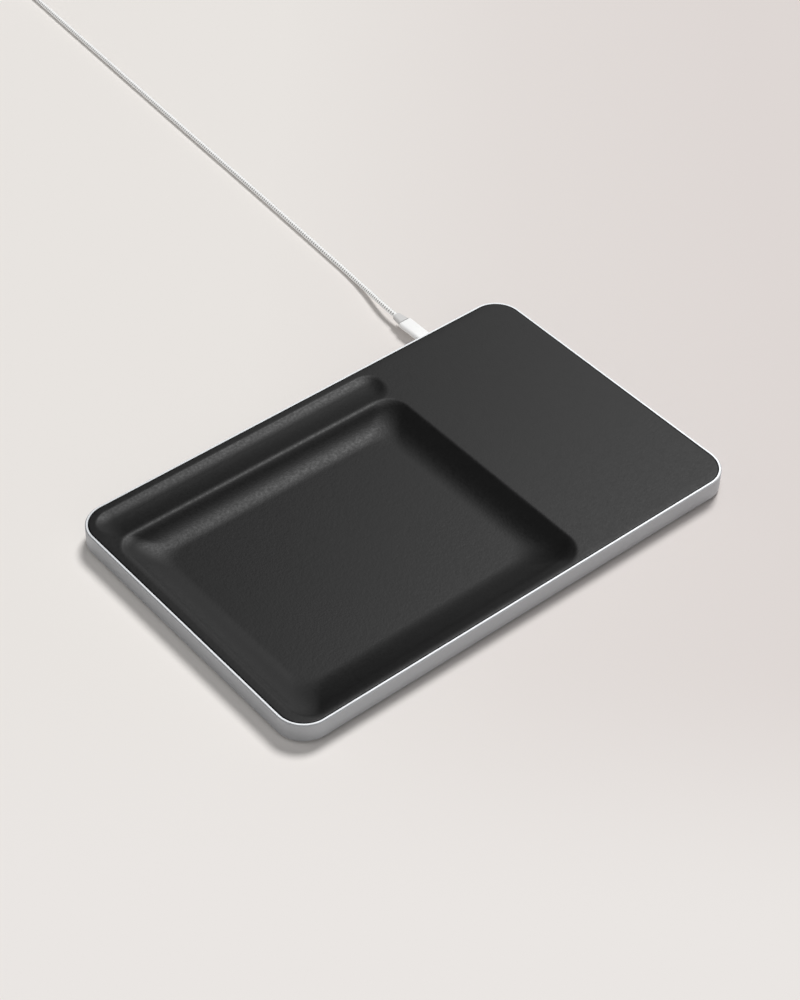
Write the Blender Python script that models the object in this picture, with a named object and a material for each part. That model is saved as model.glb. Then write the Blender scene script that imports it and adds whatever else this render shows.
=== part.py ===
"""Charging tray with a leather top, a dished catch-all recess and a wireless charging pad.

Units are metres and +Z is up. The origin is on the table, under the middle of the tray.
+X runs along the tray towards the charging pad, and +Y towards the cable port.
"""

import math

import bmesh
import bpy
from mathutils import Vector

# Clearances and modelling counts
fit_gap = 0.0003
overrun = 0.0010
embed = 0.0004
corner_steps = 6
round_steps = 16
coil_steps = 36
dish_steps = 6

# Aluminium body
tray_length = 0.3000
tray_width = 0.1905
foot_height = 0.0018
body_floor = 0.0020
body_wall = 0.0015
body_corner = 0.0169
rim_chamfer = 0.0005
underside_chamfer = 0.0004

# Foot mat
mat_inset = 0.0035
mat_pocket = 0.0006
mat_edge_chamfer = 0.0003

# Leather top
leather = 0.0012
leather_edge = 0.0003
pad_length = 0.1031
left_border = 0.0054
front_border = 0.0039
back_band = 0.0262
recess_depth = 0.0064
recess_run = 0.0225
recess_corner = 0.0134
recess_floor_corner = 0.0150
groove_border = 0.0031
groove_ridge = 0.0026
groove_reach = 0.0021
groove_depth = 0.0022
groove_floor_width = 0.0015
groove_floor_corner = 0.0006

# Inner carrier
recess_web = 0.0015
carrier_plate = 0.0012
bay_side_wall = 0.0054
bay_end_wall = 0.0042
bay_long_wall = 0.00215
bay_corner = 0.0110
bay_boss_radius = 0.00325

# Body screws
body_screw_inset = 0.0099
middle_screw_offset = 0.0051
body_screw_radius = 0.00125
body_screw_head_radius = 0.00235
body_screw_head = 0.0012
body_screw_length = 0.0059
screw_sink = 0.0001
screw_clearance = 0.0003
thread_end_gap = 0.0005

# Charging coils, ferrite and bracket
charging_coil_bore_share = 0.455
charging_coil_height = 0.0008
charging_coil_gap = 0.0030
ferrite_end_margin = 0.0015
ferrite_side_margin = 0.0020
ferrite_height = 0.0006
bracket_board_gap = 0.0085
bracket_end_margin = 0.0045
bracket_side_margin = 0.0070
bracket_height = 0.0006
bracket_corner = 0.0040
bracket_screw_inset = 0.0035
bracket_boss_radius = 0.0025
bracket_window_radius = 0.0080

# Circuit board and what it carries
board_side_gap = 0.01135
board_width = 0.0310
board_height = 0.0010
board_corner = 0.0020
board_boss_height = 0.0004
board_boss_radius = 0.0026
board_screw_inset = 0.0040
small_screw_radius = 0.0010
small_screw_head_radius = 0.0019
small_screw_head = 0.0011
small_screw_length = 0.0025
bracket_screw_length = 0.0030
controller_side = 0.0070
controller_height = 0.0009
driver_length = 0.0060
driver_width = 0.0050
driver_height = 0.0010
driver_place_share = -0.44
inductor_side = 0.0066
inductor_height = 0.0028
inductor_place_share = 0.42
capacitor_length = 0.0057
capacitor_width = 0.0050
capacitor_height = 0.0024
capacitor_place_share = 0.72
component_corner = 0.0003
coil_lead_radius = 0.0004
coil_lead_pitch = 0.0060
coil_lead_step = 0.0050
coil_lead_rise = 0.0060
coil_lead_landing = 0.0025

# Cable port
port_rise = 0.0003
port_clearance = 0.00012
receptacle_width = 0.0090
receptacle_height = 0.00326
receptacle_wall = 0.00025
receptacle_length = 0.00735
receptacle_setback = 0.0002
receptacle_back = 0.0008
tongue_side_gap = 0.0005
tongue_end_gap = 0.00125
tongue_height = 0.0007
notch_gap = 0.0004
port_channel_gap = 0.0006

# Plug in the tray
plug_side_clearance = 0.0001
plug_level_clearance = 0.00015
plug_end_gap = 0.0004
plug_shell_wall = 0.0003
plug_shell_floor = 0.0008
plug_width = 0.0093
plug_height = 0.0036
plug_length = 0.0217
plug_edge = 0.0004
collar_width = 0.0071
collar_height = 0.0032
collar_length = 0.0073
collar_end = 0.0034

# Plug at the far end
far_plug_width = 0.0150
far_plug_height = 0.0066
far_plug_length = 0.0230
far_plug_corner = 0.0022
far_shell_width = 0.0120
far_shell_height = 0.0045
far_shell_corner = 0.0004
far_shell_wall = 0.0003
far_shell_length = 0.0120
far_tongue_gap = 0.0002
far_tongue_height = 0.0018
far_tongue_length = 0.0090

# Cord
cord_diameter = 0.0030
cord_step = 0.0072
tail_step = 0.0060
coil_middle_radius = 0.0180
coil_turn_gap = 0.0005
coil_turns_per_layer = 4.5
coil_points_per_turn = 24
tie_thickness = 0.0006
tie_width = 0.0060
tie_corner = 0.0012
tie_slack = 0.00035
cord_radius = cord_diameter / 2
coil_pitch = cord_diameter + coil_turn_gap
coil_low = tie_thickness + tie_slack + cord_radius
far_plug_axis = far_plug_height / 2

# The cord's route from the collar, down to the table and along it, to the coil
lead_route = (
    (0.09665, 0.1250, 0.00580),
    (0.09680, 0.1310, 0.00575),
    (0.09720, 0.1360, 0.00555),
    (0.09820, 0.1430, 0.00490),
    (0.09980, 0.1520, 0.00370),
    (0.10120, 0.1610, 0.00260),
    (0.10250, 0.1710, 0.00185),
    (0.10350, 0.1810, 0.00155),
    (0.10410, 0.1900, cord_radius),
    (0.10605, 0.2200, cord_radius),
    (0.10800, 0.2500, cord_radius),
    (0.10990, 0.2800, cord_radius),
    (0.11160, 0.3100, cord_radius),
    (0.11330, 0.3400, cord_radius),
    (0.11510, 0.3700, cord_radius),
    (0.11695, 0.4000, cord_radius),
    (0.11880, 0.4300, cord_radius),
    (0.12070, 0.4600, cord_radius),
    (0.12255, 0.4900, cord_radius),
    (0.12450, 0.5200, cord_radius),
    (0.12580, 0.5400, 0.00155),
    (0.12680, 0.5550, 0.00190),
    (0.12735, 0.5640, 0.00230),
    (0.12750, 0.5710, coil_low),
)

# The route from the coil's end to the far plug, beside the coil
tail_route = (
    (0.12750, 0.5710, coil_low + coil_pitch),
    (0.12760, 0.5800, 0.00570),
    (0.12850, 0.5900, 0.00430),
    (0.13120, 0.6000, 0.00260),
    (0.13700, 0.6090, 0.00170),
    (0.14600, 0.6155, 0.00165),
    (0.15600, 0.6185, 0.00240),
    (0.16300, 0.6190, far_plug_axis),
    (0.16800, 0.6190, far_plug_axis),
)

# Heights that follow from the sizes above
body_floor_top = foot_height + body_floor
recess_floor_height = body_floor_top + fit_gap + recess_web + fit_gap + leather
tray_height = recess_floor_height + recess_depth
mat_ceiling = foot_height + mat_pocket
carrier_bottom = body_floor_top + fit_gap
carrier_top = tray_height - leather - fit_gap
plate_bottom = carrier_top - carrier_plate
upper_coil_bottom = plate_bottom - fit_gap - charging_coil_height
lower_coil_bottom = upper_coil_bottom - fit_gap - charging_coil_height
ferrite_bottom = lower_coil_bottom - fit_gap - ferrite_height
bracket_bottom = ferrite_bottom - fit_gap - bracket_height
bracket_top = bracket_bottom + bracket_height
board_bottom = body_floor_top + board_boss_height + fit_gap
board_top = board_bottom + board_height
component_bottom = board_top + fit_gap
port_height = board_top + port_rise

# Plan positions that follow from the sizes above
half_length = tray_length / 2
half_width = tray_width / 2
leather_x = half_length - body_wall - fit_gap
leather_y = half_width - body_wall - fit_gap
leather_corner = body_corner - body_wall - fit_gap
recess_left = -leather_x + left_border
recess_right = leather_x - pad_length
recess_front = -leather_y + front_border
recess_back = leather_y - back_band
groove_back = leather_y - groove_border
groove_front = recess_back + groove_ridge
groove_run = (groove_back - groove_front - groove_floor_width) / 2
groove_corner = groove_run + groove_floor_corner
groove_right = recess_right + groove_reach
pad_centre_x = leather_x - pad_length / 2
port_x = pad_centre_x
bay_left = recess_right + bay_side_wall
bay_right = leather_x - bay_end_wall
bay_y = leather_y - bay_long_wall
board_back = bay_y - fit_gap
board_front = board_back - board_width
board_right = bay_right - board_side_gap
board_half_length = board_right - pad_centre_x
board_left = pad_centre_x - board_half_length
bracket_length = 2 * (board_front - bracket_board_gap)
ferrite_length = bracket_length - 2 * bracket_end_margin
charging_coil_radius = (ferrite_length / 2 - ferrite_end_margin - charging_coil_gap / 2) / 2
charging_coil_spacing = charging_coil_radius + charging_coil_gap / 2
charging_coil_bore = charging_coil_bore_share * charging_coil_radius
ferrite_width = 2 * (charging_coil_radius + ferrite_side_margin)
bracket_width = ferrite_width + 2 * bracket_side_margin
body_screw_x = half_length - body_screw_inset
body_screw_y = half_width - body_screw_inset
middle_screw_x = recess_right - middle_screw_offset
receptacle_front_y = half_width - receptacle_setback
receptacle_rear_y = receptacle_front_y - receptacle_length
plug_front_y = half_width + fit_gap
plug_shell_back_y = plug_front_y - fit_gap
plug_shell_front_y = receptacle_rear_y + receptacle_back + plug_end_gap
plug_shell_width = receptacle_width - 2 * (receptacle_wall + plug_side_clearance)
plug_shell_height = receptacle_height - 2 * (receptacle_wall + plug_level_clearance)
tongue_width = plug_shell_width - 2 * (plug_shell_wall + tongue_side_gap)
tongue_start_y = receptacle_rear_y + receptacle_back + fit_gap
tongue_end_y = plug_shell_back_y - plug_shell_floor - tongue_end_gap
collar_front_y = plug_front_y + plug_length + fit_gap
coil_outer_radius = coil_middle_radius + coil_turns_per_layer * coil_pitch / 2
coil_inner_radius = coil_middle_radius - coil_turns_per_layer * coil_pitch / 2
coil_start = Vector(lead_route[-1])
coil_centre = coil_start + Vector((coil_outer_radius, 0.0, 0.0))
far_collar_start = Vector(tail_route[-1]) + Vector((fit_gap / 2, 0.0, 0.0))


def clear_scene():
    for item in list(bpy.data.objects):
        bpy.data.objects.remove(item, do_unlink=True)


def material(name, colour, roughness, metallic=0.0):
    """A Principled material with one colour, given as linear red, green and blue."""
    made = bpy.data.materials.new(name)
    made.use_nodes = True
    shader = made.node_tree.nodes["Principled BSDF"]
    shader.inputs["Base Color"].default_value = (*colour, 1.0)
    shader.inputs["Roughness"].default_value = roughness
    shader.inputs["Metallic"].default_value = metallic
    return made


def without_repeats(points):
    """The closed outline without points that fall on their neighbour, as on a full round end."""
    least_step = fit_gap / 1000
    kept = []
    for point in points:
        if not kept or (point - kept[-1]).length > least_step:
            kept.append(point)
    if (kept[0] - kept[-1]).length < least_step:
        kept.pop()
    return kept


def outline(left, right, front, back, corner):
    """A rounded rectangle in plan, anticlockwise."""
    centres = (
        (right - corner, back - corner),
        (left + corner, back - corner),
        (left + corner, front + corner),
        (right - corner, front + corner),
    )
    points = []
    for turn, centre in enumerate(centres):
        for step in range(corner_steps + 1):
            angle = math.radians(90) * (turn + step / corner_steps)
            points.append(Vector(centre) + corner * Vector((math.cos(angle), math.sin(angle))))
    return without_repeats(points)


def centred_outline(length, width, corner, centre=(0.0, 0.0)):
    """A rounded rectangle about a centre."""
    x, y = centre
    return outline(x - length / 2, x + length / 2, y - width / 2, y + width / 2, corner)


def circle(radius, centre=(0.0, 0.0), steps=round_steps):
    points = []
    for step in range(steps):
        angle = math.radians(360) * step / steps
        points.append(Vector(centre) + radius * Vector((math.cos(angle), math.sin(angle))))
    return points


def level(points, height):
    """An outline in plan, raised to a height."""
    return [Vector((point.x, point.y, height)) for point in points]


def upright(points, y):
    """An outline of x and z, set across the Y axis."""
    return [Vector((point.x, y, point.y)) for point in points]


def sideways(points, x):
    """An outline of y and z, set across the X axis."""
    return [Vector((x, point.x, point.y)) for point in points]


def mesh_object(name, mesh_data, finish):
    made = bpy.data.objects.new(name, mesh_data)
    bpy.context.scene.collection.objects.link(made)
    if finish is not None and not mesh_data.materials:
        mesh_data.materials.append(finish)
    return made


def loft(name, rings, finish=None, ring_closed=False):
    """A closed solid through rings of equally many points, capped at its ends or joined to a loop."""
    shape = bmesh.new()
    layers = [[shape.verts.new(point) for point in ring] for ring in rings]
    pairs = list(zip(layers, layers[1:]))
    if ring_closed:
        pairs.append((layers[-1], layers[0]))
    else:
        shape.faces.new(layers[0])
        shape.faces.new(layers[-1])
    for lower, upper in pairs:
        count = len(lower)
        for index in range(count):
            after = (index + 1) % count
            shape.faces.new((lower[index], lower[after], upper[after], upper[index]))
    bmesh.ops.recalc_face_normals(shape, faces=shape.faces)
    mesh_data = bpy.data.meshes.new(name)
    shape.to_mesh(mesh_data)
    shape.free()
    return mesh_object(name, mesh_data, finish)


def prism(name, points, low, high, finish=None):
    return loft(name, [level(points, low), level(points, high)], finish)


def smooth(piece, sharp_angle=35):
    """Shades the round faces smooth and keeps the edges crisp."""
    piece.data.shade_smooth()
    piece.data.set_sharp_from_angle(angle=math.radians(sharp_angle))


def combine(piece, helper, operation):
    """Adds a Boolean that cuts the helper from the piece or joins it on."""
    helper.hide_render = True
    helper.display_type = "WIRE"
    step = piece.modifiers.new(helper.name, "BOOLEAN")
    step.operation = operation
    step.solver = "EXACT"
    step.object = helper


def cut(piece, helper):
    combine(piece, helper, "DIFFERENCE")


def join(piece, helper):
    combine(piece, helper, "UNION")


def dish_rings(edges, depth, run, crest_corner, floor_corner, top, rise):
    """Rings of a dish whose wall is an arc tangent to its floor, then straight up past its crest."""
    left, right, front, back = edges
    arc_radius = (run**2 + depth**2) / (2 * depth)
    arc_angle = 2 * math.atan2(depth, run)
    rings = []
    for step in range(dish_steps + 1):
        angle = arc_angle * step / dish_steps
        inset = run - arc_radius * math.sin(angle)
        corner = crest_corner + (floor_corner - crest_corner) * inset / run
        height = top - depth + arc_radius * (1 - math.cos(angle))
        plan = outline(left + inset, right - inset, front + inset, back - inset, corner)
        rings.append(level(plan, height))
    rings.append(level(outline(left, right, front, back, crest_corner), top + rise))
    return rings


def recess_dish(name, top, rise):
    edges = (recess_left, recess_right, recess_front, recess_back)
    corners = (recess_corner, recess_floor_corner)
    return loft(name, dish_rings(edges, recess_depth, recess_run, *corners, top, rise))


def groove_dish(name, top, rise):
    edges = (recess_left, groove_right, groove_front, groove_back)
    corners = (groove_corner, groove_floor_corner)
    return loft(name, dish_rings(edges, groove_depth, groove_run, *corners, top, rise))


def body_screw_places():
    return [
        (x, y)
        for x in (-body_screw_x, middle_screw_x, body_screw_x)
        for y in (-body_screw_y, body_screw_y)
    ]


def bracket_screw_places():
    reach_x = bracket_width / 2 - bracket_screw_inset
    reach_y = bracket_length / 2 - bracket_screw_inset
    return [(pad_centre_x + x, y) for x in (-reach_x, reach_x) for y in (-reach_y, reach_y)]


def board_screw_places():
    return [
        (x, y)
        for x in (board_left + board_screw_inset, board_right - board_screw_inset)
        for y in (board_front + board_screw_inset, board_back - board_screw_inset)
    ]


def make_body(finish):
    """Machined aluminium tray: wall, floor, chamfered rim, mat pocket, port and screw holes."""

    def plan(inset):
        corner = body_corner - inset
        return centred_outline(tray_length - 2 * inset, tray_width - 2 * inset, corner)

    body = loft(
        "aluminium_body",
        [
            level(plan(underside_chamfer), foot_height),
            level(plan(0.0), foot_height + underside_chamfer),
            level(plan(0.0), tray_height - rim_chamfer),
            level(plan(rim_chamfer), tray_height),
        ],
        finish,
    )
    cut(body, prism("cavity_cutter", plan(body_wall), body_floor_top, tray_height + overrun))
    cut(body, prism("mat_pocket_cutter", plan(mat_inset), foot_height - overrun, mat_ceiling))
    for number, place in enumerate(board_screw_places(), 1):
        boss = circle(board_boss_radius, place)
        boss_top = body_floor_top + board_boss_height
        join(body, prism(f"board_boss_{number}", boss, body_floor_top - embed, boss_top))
        hole = circle(small_screw_radius + screw_clearance, place)
        low = board_top - small_screw_length
        cut(body, prism(f"board_hole_cutter_{number}", hole, low, boss_top + overrun))
    head = body_screw_head_radius + screw_clearance
    shank = body_screw_radius + screw_clearance
    cone_low = mat_ceiling + screw_sink
    for number, place in enumerate(body_screw_places(), 1):
        rings = [
            level(circle(head, place), mat_ceiling - overrun),
            level(circle(head, place), cone_low),
            level(circle(shank, place), cone_low + body_screw_head),
            level(circle(shank, place), body_floor_top + overrun),
        ]
        cut(body, loft(f"body_screw_cutter_{number}", rings))
    width = receptacle_width + 2 * port_clearance
    height = receptacle_height + 2 * port_clearance
    port = centred_outline(width, height, height / 2, (port_x, port_height))
    inner_face = half_width - body_wall
    rings = [upright(port, inner_face - overrun), upright(port, half_width + overrun)]
    cut(body, loft("port_cutter", rings))
    return body


def make_leather(finish):
    """Leather skin with its flat pad, the dished recess and the soft channel along the back."""

    def plan(inset):
        corner = leather_corner - inset
        return centred_outline(2 * (leather_x - inset), 2 * (leather_y - inset), corner)

    top = loft(
        "leather_top",
        [
            level(plan(0.0), tray_height - leather),
            level(plan(0.0), tray_height - leather_edge),
            level(plan(leather_edge), tray_height),
        ],
        finish,
    )
    join(top, recess_dish("recess_underside", tray_height - leather, leather / 2))
    join(top, groove_dish("groove_underside", tray_height - leather, leather / 2))
    cut(top, recess_dish("recess_cutter", tray_height, overrun))
    cut(top, groove_dish("groove_cutter", tray_height, overrun))
    return top


def make_carrier(finish):
    """Moulded carrier that shapes the leather and roofs the electronics bay."""
    plan = centred_outline(2 * leather_x, 2 * leather_y, leather_corner)
    carrier = prism("inner_carrier", plan, carrier_bottom, carrier_top, finish)
    bay = outline(bay_left, bay_right, -bay_y, bay_y, bay_corner)
    cut(carrier, prism("bay_cutter", bay, carrier_bottom - overrun, plate_bottom))
    cut(carrier, recess_dish("carrier_recess_cutter", carrier_top, overrun))
    cut(carrier, groove_dish("carrier_groove_cutter", carrier_top, overrun))
    right_screws = [place for place in body_screw_places() if place[0] == body_screw_x]
    for number, place in enumerate(right_screws, 1):
        boss = circle(bay_boss_radius, place)
        name = f"corner_boss_{number}"
        join(carrier, prism(name, boss, carrier_bottom + fit_gap, plate_bottom + embed))
    for number, place in enumerate(bracket_screw_places(), 1):
        boss = circle(bracket_boss_radius, place)
        name = f"bracket_boss_{number}"
        join(carrier, prism(name, boss, bracket_top + fit_gap, plate_bottom + embed))
        hole = circle(small_screw_radius + screw_clearance, place)
        low = bracket_top + fit_gap - overrun
        high = bracket_bottom - fit_gap + bracket_screw_length + thread_end_gap
        cut(carrier, prism(f"bracket_hole_cutter_{number}", hole, low, high))
    for number, place in enumerate(body_screw_places(), 1):
        hole = circle(body_screw_radius + screw_clearance, place)
        high = mat_ceiling + screw_sink + body_screw_length + thread_end_gap
        name = f"carrier_hole_cutter_{number}"
        cut(carrier, prism(name, hole, carrier_bottom - overrun, high))
    side = receptacle_width / 2 + port_channel_gap
    channel = outline(
        port_x - side, port_x + side, bay_y - overrun, leather_y + overrun, component_corner
    )
    high = port_height + receptacle_height / 2 + port_channel_gap
    cut(carrier, prism("port_channel_cutter", channel, carrier_bottom - overrun, high))
    return carrier


def make_foot_mat(finish):
    """Silicone mat that the tray stands on, set back from its edge."""

    def plan(inset):
        total = mat_inset + fit_gap + inset
        return centred_outline(
            tray_length - 2 * total, tray_width - 2 * total, body_corner - total
        )

    return loft(
        "foot_mat",
        [
            level(plan(mat_edge_chamfer), 0.0),
            level(plan(0.0), mat_edge_chamfer),
            level(plan(0.0), mat_ceiling - fit_gap),
        ],
        finish,
    )


def make_bracket(finish):
    """Flat bracket that holds the ferrite and the coils up under the pad."""
    plan = centred_outline(bracket_width, bracket_length, bracket_corner, (pad_centre_x, 0.0))
    bracket = prism("coil_bracket", plan, bracket_bottom, bracket_top, finish)
    for number, place in enumerate(bracket_screw_places(), 1):
        hole = circle(small_screw_radius + screw_clearance, place)
        name = f"bracket_screw_cutter_{number}"
        cut(bracket, prism(name, hole, bracket_bottom - overrun, bracket_top + overrun))
    for number, y in enumerate((-charging_coil_spacing, charging_coil_spacing), 1):
        window = circle(bracket_window_radius, (pad_centre_x, y))
        name = f"bracket_window_cutter_{number}"
        cut(bracket, prism(name, window, bracket_bottom - overrun, bracket_top + overrun))
    return bracket


def make_ferrite(finish):
    plan = centred_outline(ferrite_width, ferrite_length, component_corner, (pad_centre_x, 0.0))
    return prism("ferrite_sheet", plan, ferrite_bottom, ferrite_bottom + ferrite_height, finish)


def make_charging_coils(finish):
    """Three flat copper coils; the middle one lies on the two others."""
    rings = [
        level(circle(charging_coil_radius, steps=coil_steps), 0.0),
        level(circle(charging_coil_radius, steps=coil_steps), charging_coil_height),
        level(circle(charging_coil_bore, steps=coil_steps), charging_coil_height),
        level(circle(charging_coil_bore, steps=coil_steps), 0.0),
    ]
    front = loft("front_charging_coil", rings, finish, ring_closed=True)
    front.location = (pad_centre_x, -charging_coil_spacing, lower_coil_bottom)
    back = mesh_object("back_charging_coil", front.data, finish)
    back.location = (pad_centre_x, charging_coil_spacing, lower_coil_bottom)
    middle = mesh_object("middle_charging_coil", front.data, finish)
    middle.location = (pad_centre_x, 0.0, upper_coil_bottom)
    return [front, back, middle]


def tube(name, points, radius, resolution, finish):
    """A round tube along straight steps between the points, with closed ends."""
    curve = bpy.data.curves.new(name, "CURVE")
    curve.dimensions = "3D"
    curve.bevel_depth = radius
    curve.bevel_resolution = resolution
    curve.use_fill_caps = True
    curve.twist_mode = "MINIMUM"
    line = curve.splines.new("POLY")
    line.points.add(len(points) - 1)
    for target, point in zip(line.points, points):
        target.co = (*point, 1.0)
    curve.materials.append(finish)
    made = bpy.data.objects.new(name, curve)
    bpy.context.scene.collection.objects.link(made)
    return made


def smooth_points(route, step):
    """Points a step apart, or a little less, on a smooth curve through the route's points."""
    route = [Vector(point) for point in route]
    first = 2 * route[0] - route[1]
    last = 2 * route[-1] - route[-2]
    guides = [first, *route, last]
    fine_steps = 40
    dense = [route[0]]
    for before, start, end, after in zip(guides, guides[1:], guides[2:], guides[3:]):
        pull_in = (end - before) * (end - start).length / (
            (start - before).length + (end - start).length
        )
        pull_out = (after - start) * (end - start).length / (
            (after - end).length + (end - start).length
        )
        for index in range(1, fine_steps + 1):
            t = index / fine_steps
            dense.append(
                (2 * t**3 - 3 * t**2 + 1) * start
                + (t**3 - 2 * t**2 + t) * pull_in
                + (3 * t**2 - 2 * t**3) * end
                + (t**3 - t**2) * pull_out
            )
    lengths = [0.0]
    for a, b in zip(dense, dense[1:]):
        lengths.append(lengths[-1] + (b - a).length)
    count = math.ceil(lengths[-1] / step)
    points = []
    place = 0
    for index in range(count + 1):
        wanted = lengths[-1] * index / count
        while place < len(lengths) - 2 and lengths[place + 1] < wanted:
            place += 1
        share = (wanted - lengths[place]) / (lengths[place + 1] - lengths[place])
        points.append(dense[place].lerp(dense[place + 1], share))
    return points


def make_coil_leads(finish):
    """Twin leads from each coil to the board, each drawn as one tube."""
    landing_y = board_front + coil_lead_landing
    landing_z = component_bottom + coil_lead_radius
    lower_z = lower_coil_bottom + charging_coil_height / 2
    upper_z = upper_coil_bottom + charging_coil_height / 2
    coil_edge = charging_coil_radius + fit_gap + coil_lead_radius
    back_x = pad_centre_x - coil_lead_pitch
    back_start_y = charging_coil_spacing + math.sqrt(coil_edge**2 - coil_lead_pitch**2)
    front_x = pad_centre_x + coil_edge
    rise_y = board_front - coil_lead_rise
    routes = {
        "back_coil_lead": (
            (back_x, back_start_y, lower_z),
            (back_x, rise_y, lower_z),
            (back_x, board_front, (lower_z + landing_z) / 2),
            (back_x, landing_y, landing_z),
        ),
        "middle_coil_lead": (
            (pad_centre_x, coil_edge, upper_z),
            (pad_centre_x, charging_coil_spacing + coil_edge, upper_z),
            (pad_centre_x, rise_y, upper_z),
            (pad_centre_x, board_front, (upper_z + landing_z) / 2),
            (pad_centre_x, landing_y, landing_z),
        ),
        "front_coil_lead": (
            (front_x, -charging_coil_spacing, lower_z),
            (front_x, 0.0, lower_z),
            (front_x, charging_coil_spacing, lower_z),
            (front_x, rise_y, lower_z),
            (front_x, board_front, (lower_z + landing_z) / 2),
            (front_x, landing_y, landing_z),
        ),
    }
    return [
        tube(name, smooth_points(route, coil_lead_step), coil_lead_radius, 1, finish)
        for name, route in routes.items()
    ]


def make_board(finish):
    """Circuit board on the floor's bosses, with a notch for the receptacle in its back edge."""
    plan = outline(board_left, board_right, board_front, board_back, board_corner)
    board = prism("main_board", plan, board_bottom, board_top, finish)
    side = receptacle_width / 2 + notch_gap
    notch = outline(
        port_x - side,
        port_x + side,
        receptacle_rear_y - notch_gap,
        board_back + overrun,
        component_corner,
    )
    cut(board, prism("notch_cutter", notch, board_bottom - overrun, board_top + overrun))
    for number, place in enumerate(board_screw_places(), 1):
        hole = circle(small_screw_radius + screw_clearance, place)
        name = f"board_screw_cutter_{number}"
        cut(board, prism(name, hole, board_bottom - overrun, board_top + overrun))
    return board


def make_board_parts(chip_finish, inductor_finish, capacitor_finish):
    """Controller, driver, inductor and the capacitors that tune the coils."""
    middle_y = (board_front + receptacle_rear_y) / 2

    def block(name, length, width, height, x, finish):
        plan = centred_outline(length, width, component_corner, (x, middle_y))
        return prism(name, plan, component_bottom, component_bottom + height, finish)

    made = [
        block(
            "controller_chip",
            controller_side,
            controller_side,
            controller_height,
            port_x,
            chip_finish,
        ),
        block(
            "driver_chip",
            driver_length,
            driver_width,
            driver_height,
            port_x + driver_place_share * board_half_length,
            chip_finish,
        ),
        block(
            "power_inductor",
            inductor_side,
            inductor_side,
            inductor_height,
            port_x + inductor_place_share * board_half_length,
            inductor_finish,
        ),
    ]
    for number, sign in enumerate((-1, 1), 1):
        made.append(
            block(
                f"tuning_capacitor_{number}",
                capacitor_length,
                capacitor_width,
                capacitor_height,
                port_x + sign * capacitor_place_share * board_half_length,
                capacitor_finish,
            )
        )
    return made


def tube_rings(place_ring, outer, inner, front, back, floor):
    """Rings of a tube that is open at its front and closed at its back."""
    return [
        place_ring(outer, back),
        place_ring(outer, front),
        place_ring(inner, front),
        place_ring(inner, back + floor),
    ]


def make_receptacle(shell_finish, tongue_finish):
    """Port socket: a metal shell with the contact tongue inside it."""
    centre = (port_x, port_height)

    def section(width, height):
        return centred_outline(width, height, height / 2, centre)

    outer = section(receptacle_width, receptacle_height)
    inner = section(
        receptacle_width - 2 * receptacle_wall, receptacle_height - 2 * receptacle_wall
    )
    shell = loft(
        "receptacle_shell",
        tube_rings(
            upright, outer, inner, receptacle_front_y, receptacle_rear_y, receptacle_back
        ),
        shell_finish,
    )
    tongue = centred_outline(tongue_width, tongue_height, component_corner, centre)
    return shell, loft(
        "receptacle_tongue",
        [upright(tongue, tongue_start_y), upright(tongue, tongue_end_y)],
        tongue_finish,
    )


def screw_mesh(name, rings, finish):
    """A screw as a turned shape about its own axis, from radii and heights."""
    return loft(name, [level(circle(radius), height) for radius, height in rings], finish)


def make_screws(finish):
    """Countersunk body screws, and small screws for the board and the bracket."""
    made = []
    head = (
        (body_screw_head_radius, 0.0),
        (body_screw_radius, body_screw_head),
        (body_screw_radius, body_screw_length),
    )
    for number, place in enumerate(body_screw_places(), 1):
        name = f"body_screw_{number}"
        if number == 1:
            made.append(screw_mesh(name, head, finish))
            shared = made[0].data
        else:
            made.append(mesh_object(name, shared, finish))
        made[-1].location = (*place, mat_ceiling + screw_sink)
    for prefix, places, length, seat, sign in (
        ("board_screw", board_screw_places(), small_screw_length, board_top + fit_gap, -1),
        (
            "bracket_screw",
            bracket_screw_places(),
            bracket_screw_length,
            bracket_bottom - fit_gap,
            1,
        ),
    ):
        profile = (
            (small_screw_head_radius, -sign * small_screw_head),
            (small_screw_head_radius, 0.0),
            (small_screw_radius, 0.0),
            (small_screw_radius, sign * length),
        )
        for number, place in enumerate(places, 1):
            name = f"{prefix}_{number}"
            if number == 1:
                first = screw_mesh(name, profile, finish)
                made.append(first)
            else:
                made.append(mesh_object(name, first.data, finish))
            made[-1].location = (*place, seat)
    return made


def make_tray_plug(shell_finish, housing_finish, collar_finish):
    """The plug in the port: metal shell, slim housing and tapered collar."""
    centre = (port_x, port_height)

    def section(width, height):
        return centred_outline(width, height, height / 2, centre)

    outer = section(plug_shell_width, plug_shell_height)
    inner = section(
        plug_shell_width - 2 * plug_shell_wall, plug_shell_height - 2 * plug_shell_wall
    )
    shell = loft(
        "plug_shell",
        tube_rings(
            upright,
            outer,
            inner,
            plug_shell_front_y,
            plug_shell_back_y,
            -plug_shell_floor,
        ),
        shell_finish,
    )
    plug_back = plug_front_y + plug_length
    small = section(plug_width - 2 * plug_edge, plug_height - 2 * plug_edge)
    full = section(plug_width, plug_height)
    housing = loft(
        "plug_housing",
        [
            upright(small, plug_front_y),
            upright(full, plug_front_y + plug_edge),
            upright(full, plug_back - plug_edge),
            upright(small, plug_back),
        ],
        housing_finish,
    )
    collar = loft(
        "plug_collar",
        [
            upright(section(collar_width, collar_height), collar_front_y),
            upright(section(collar_end, collar_end - fit_gap), collar_front_y + collar_length),
        ],
        collar_finish,
    )
    return shell, housing, collar


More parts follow.
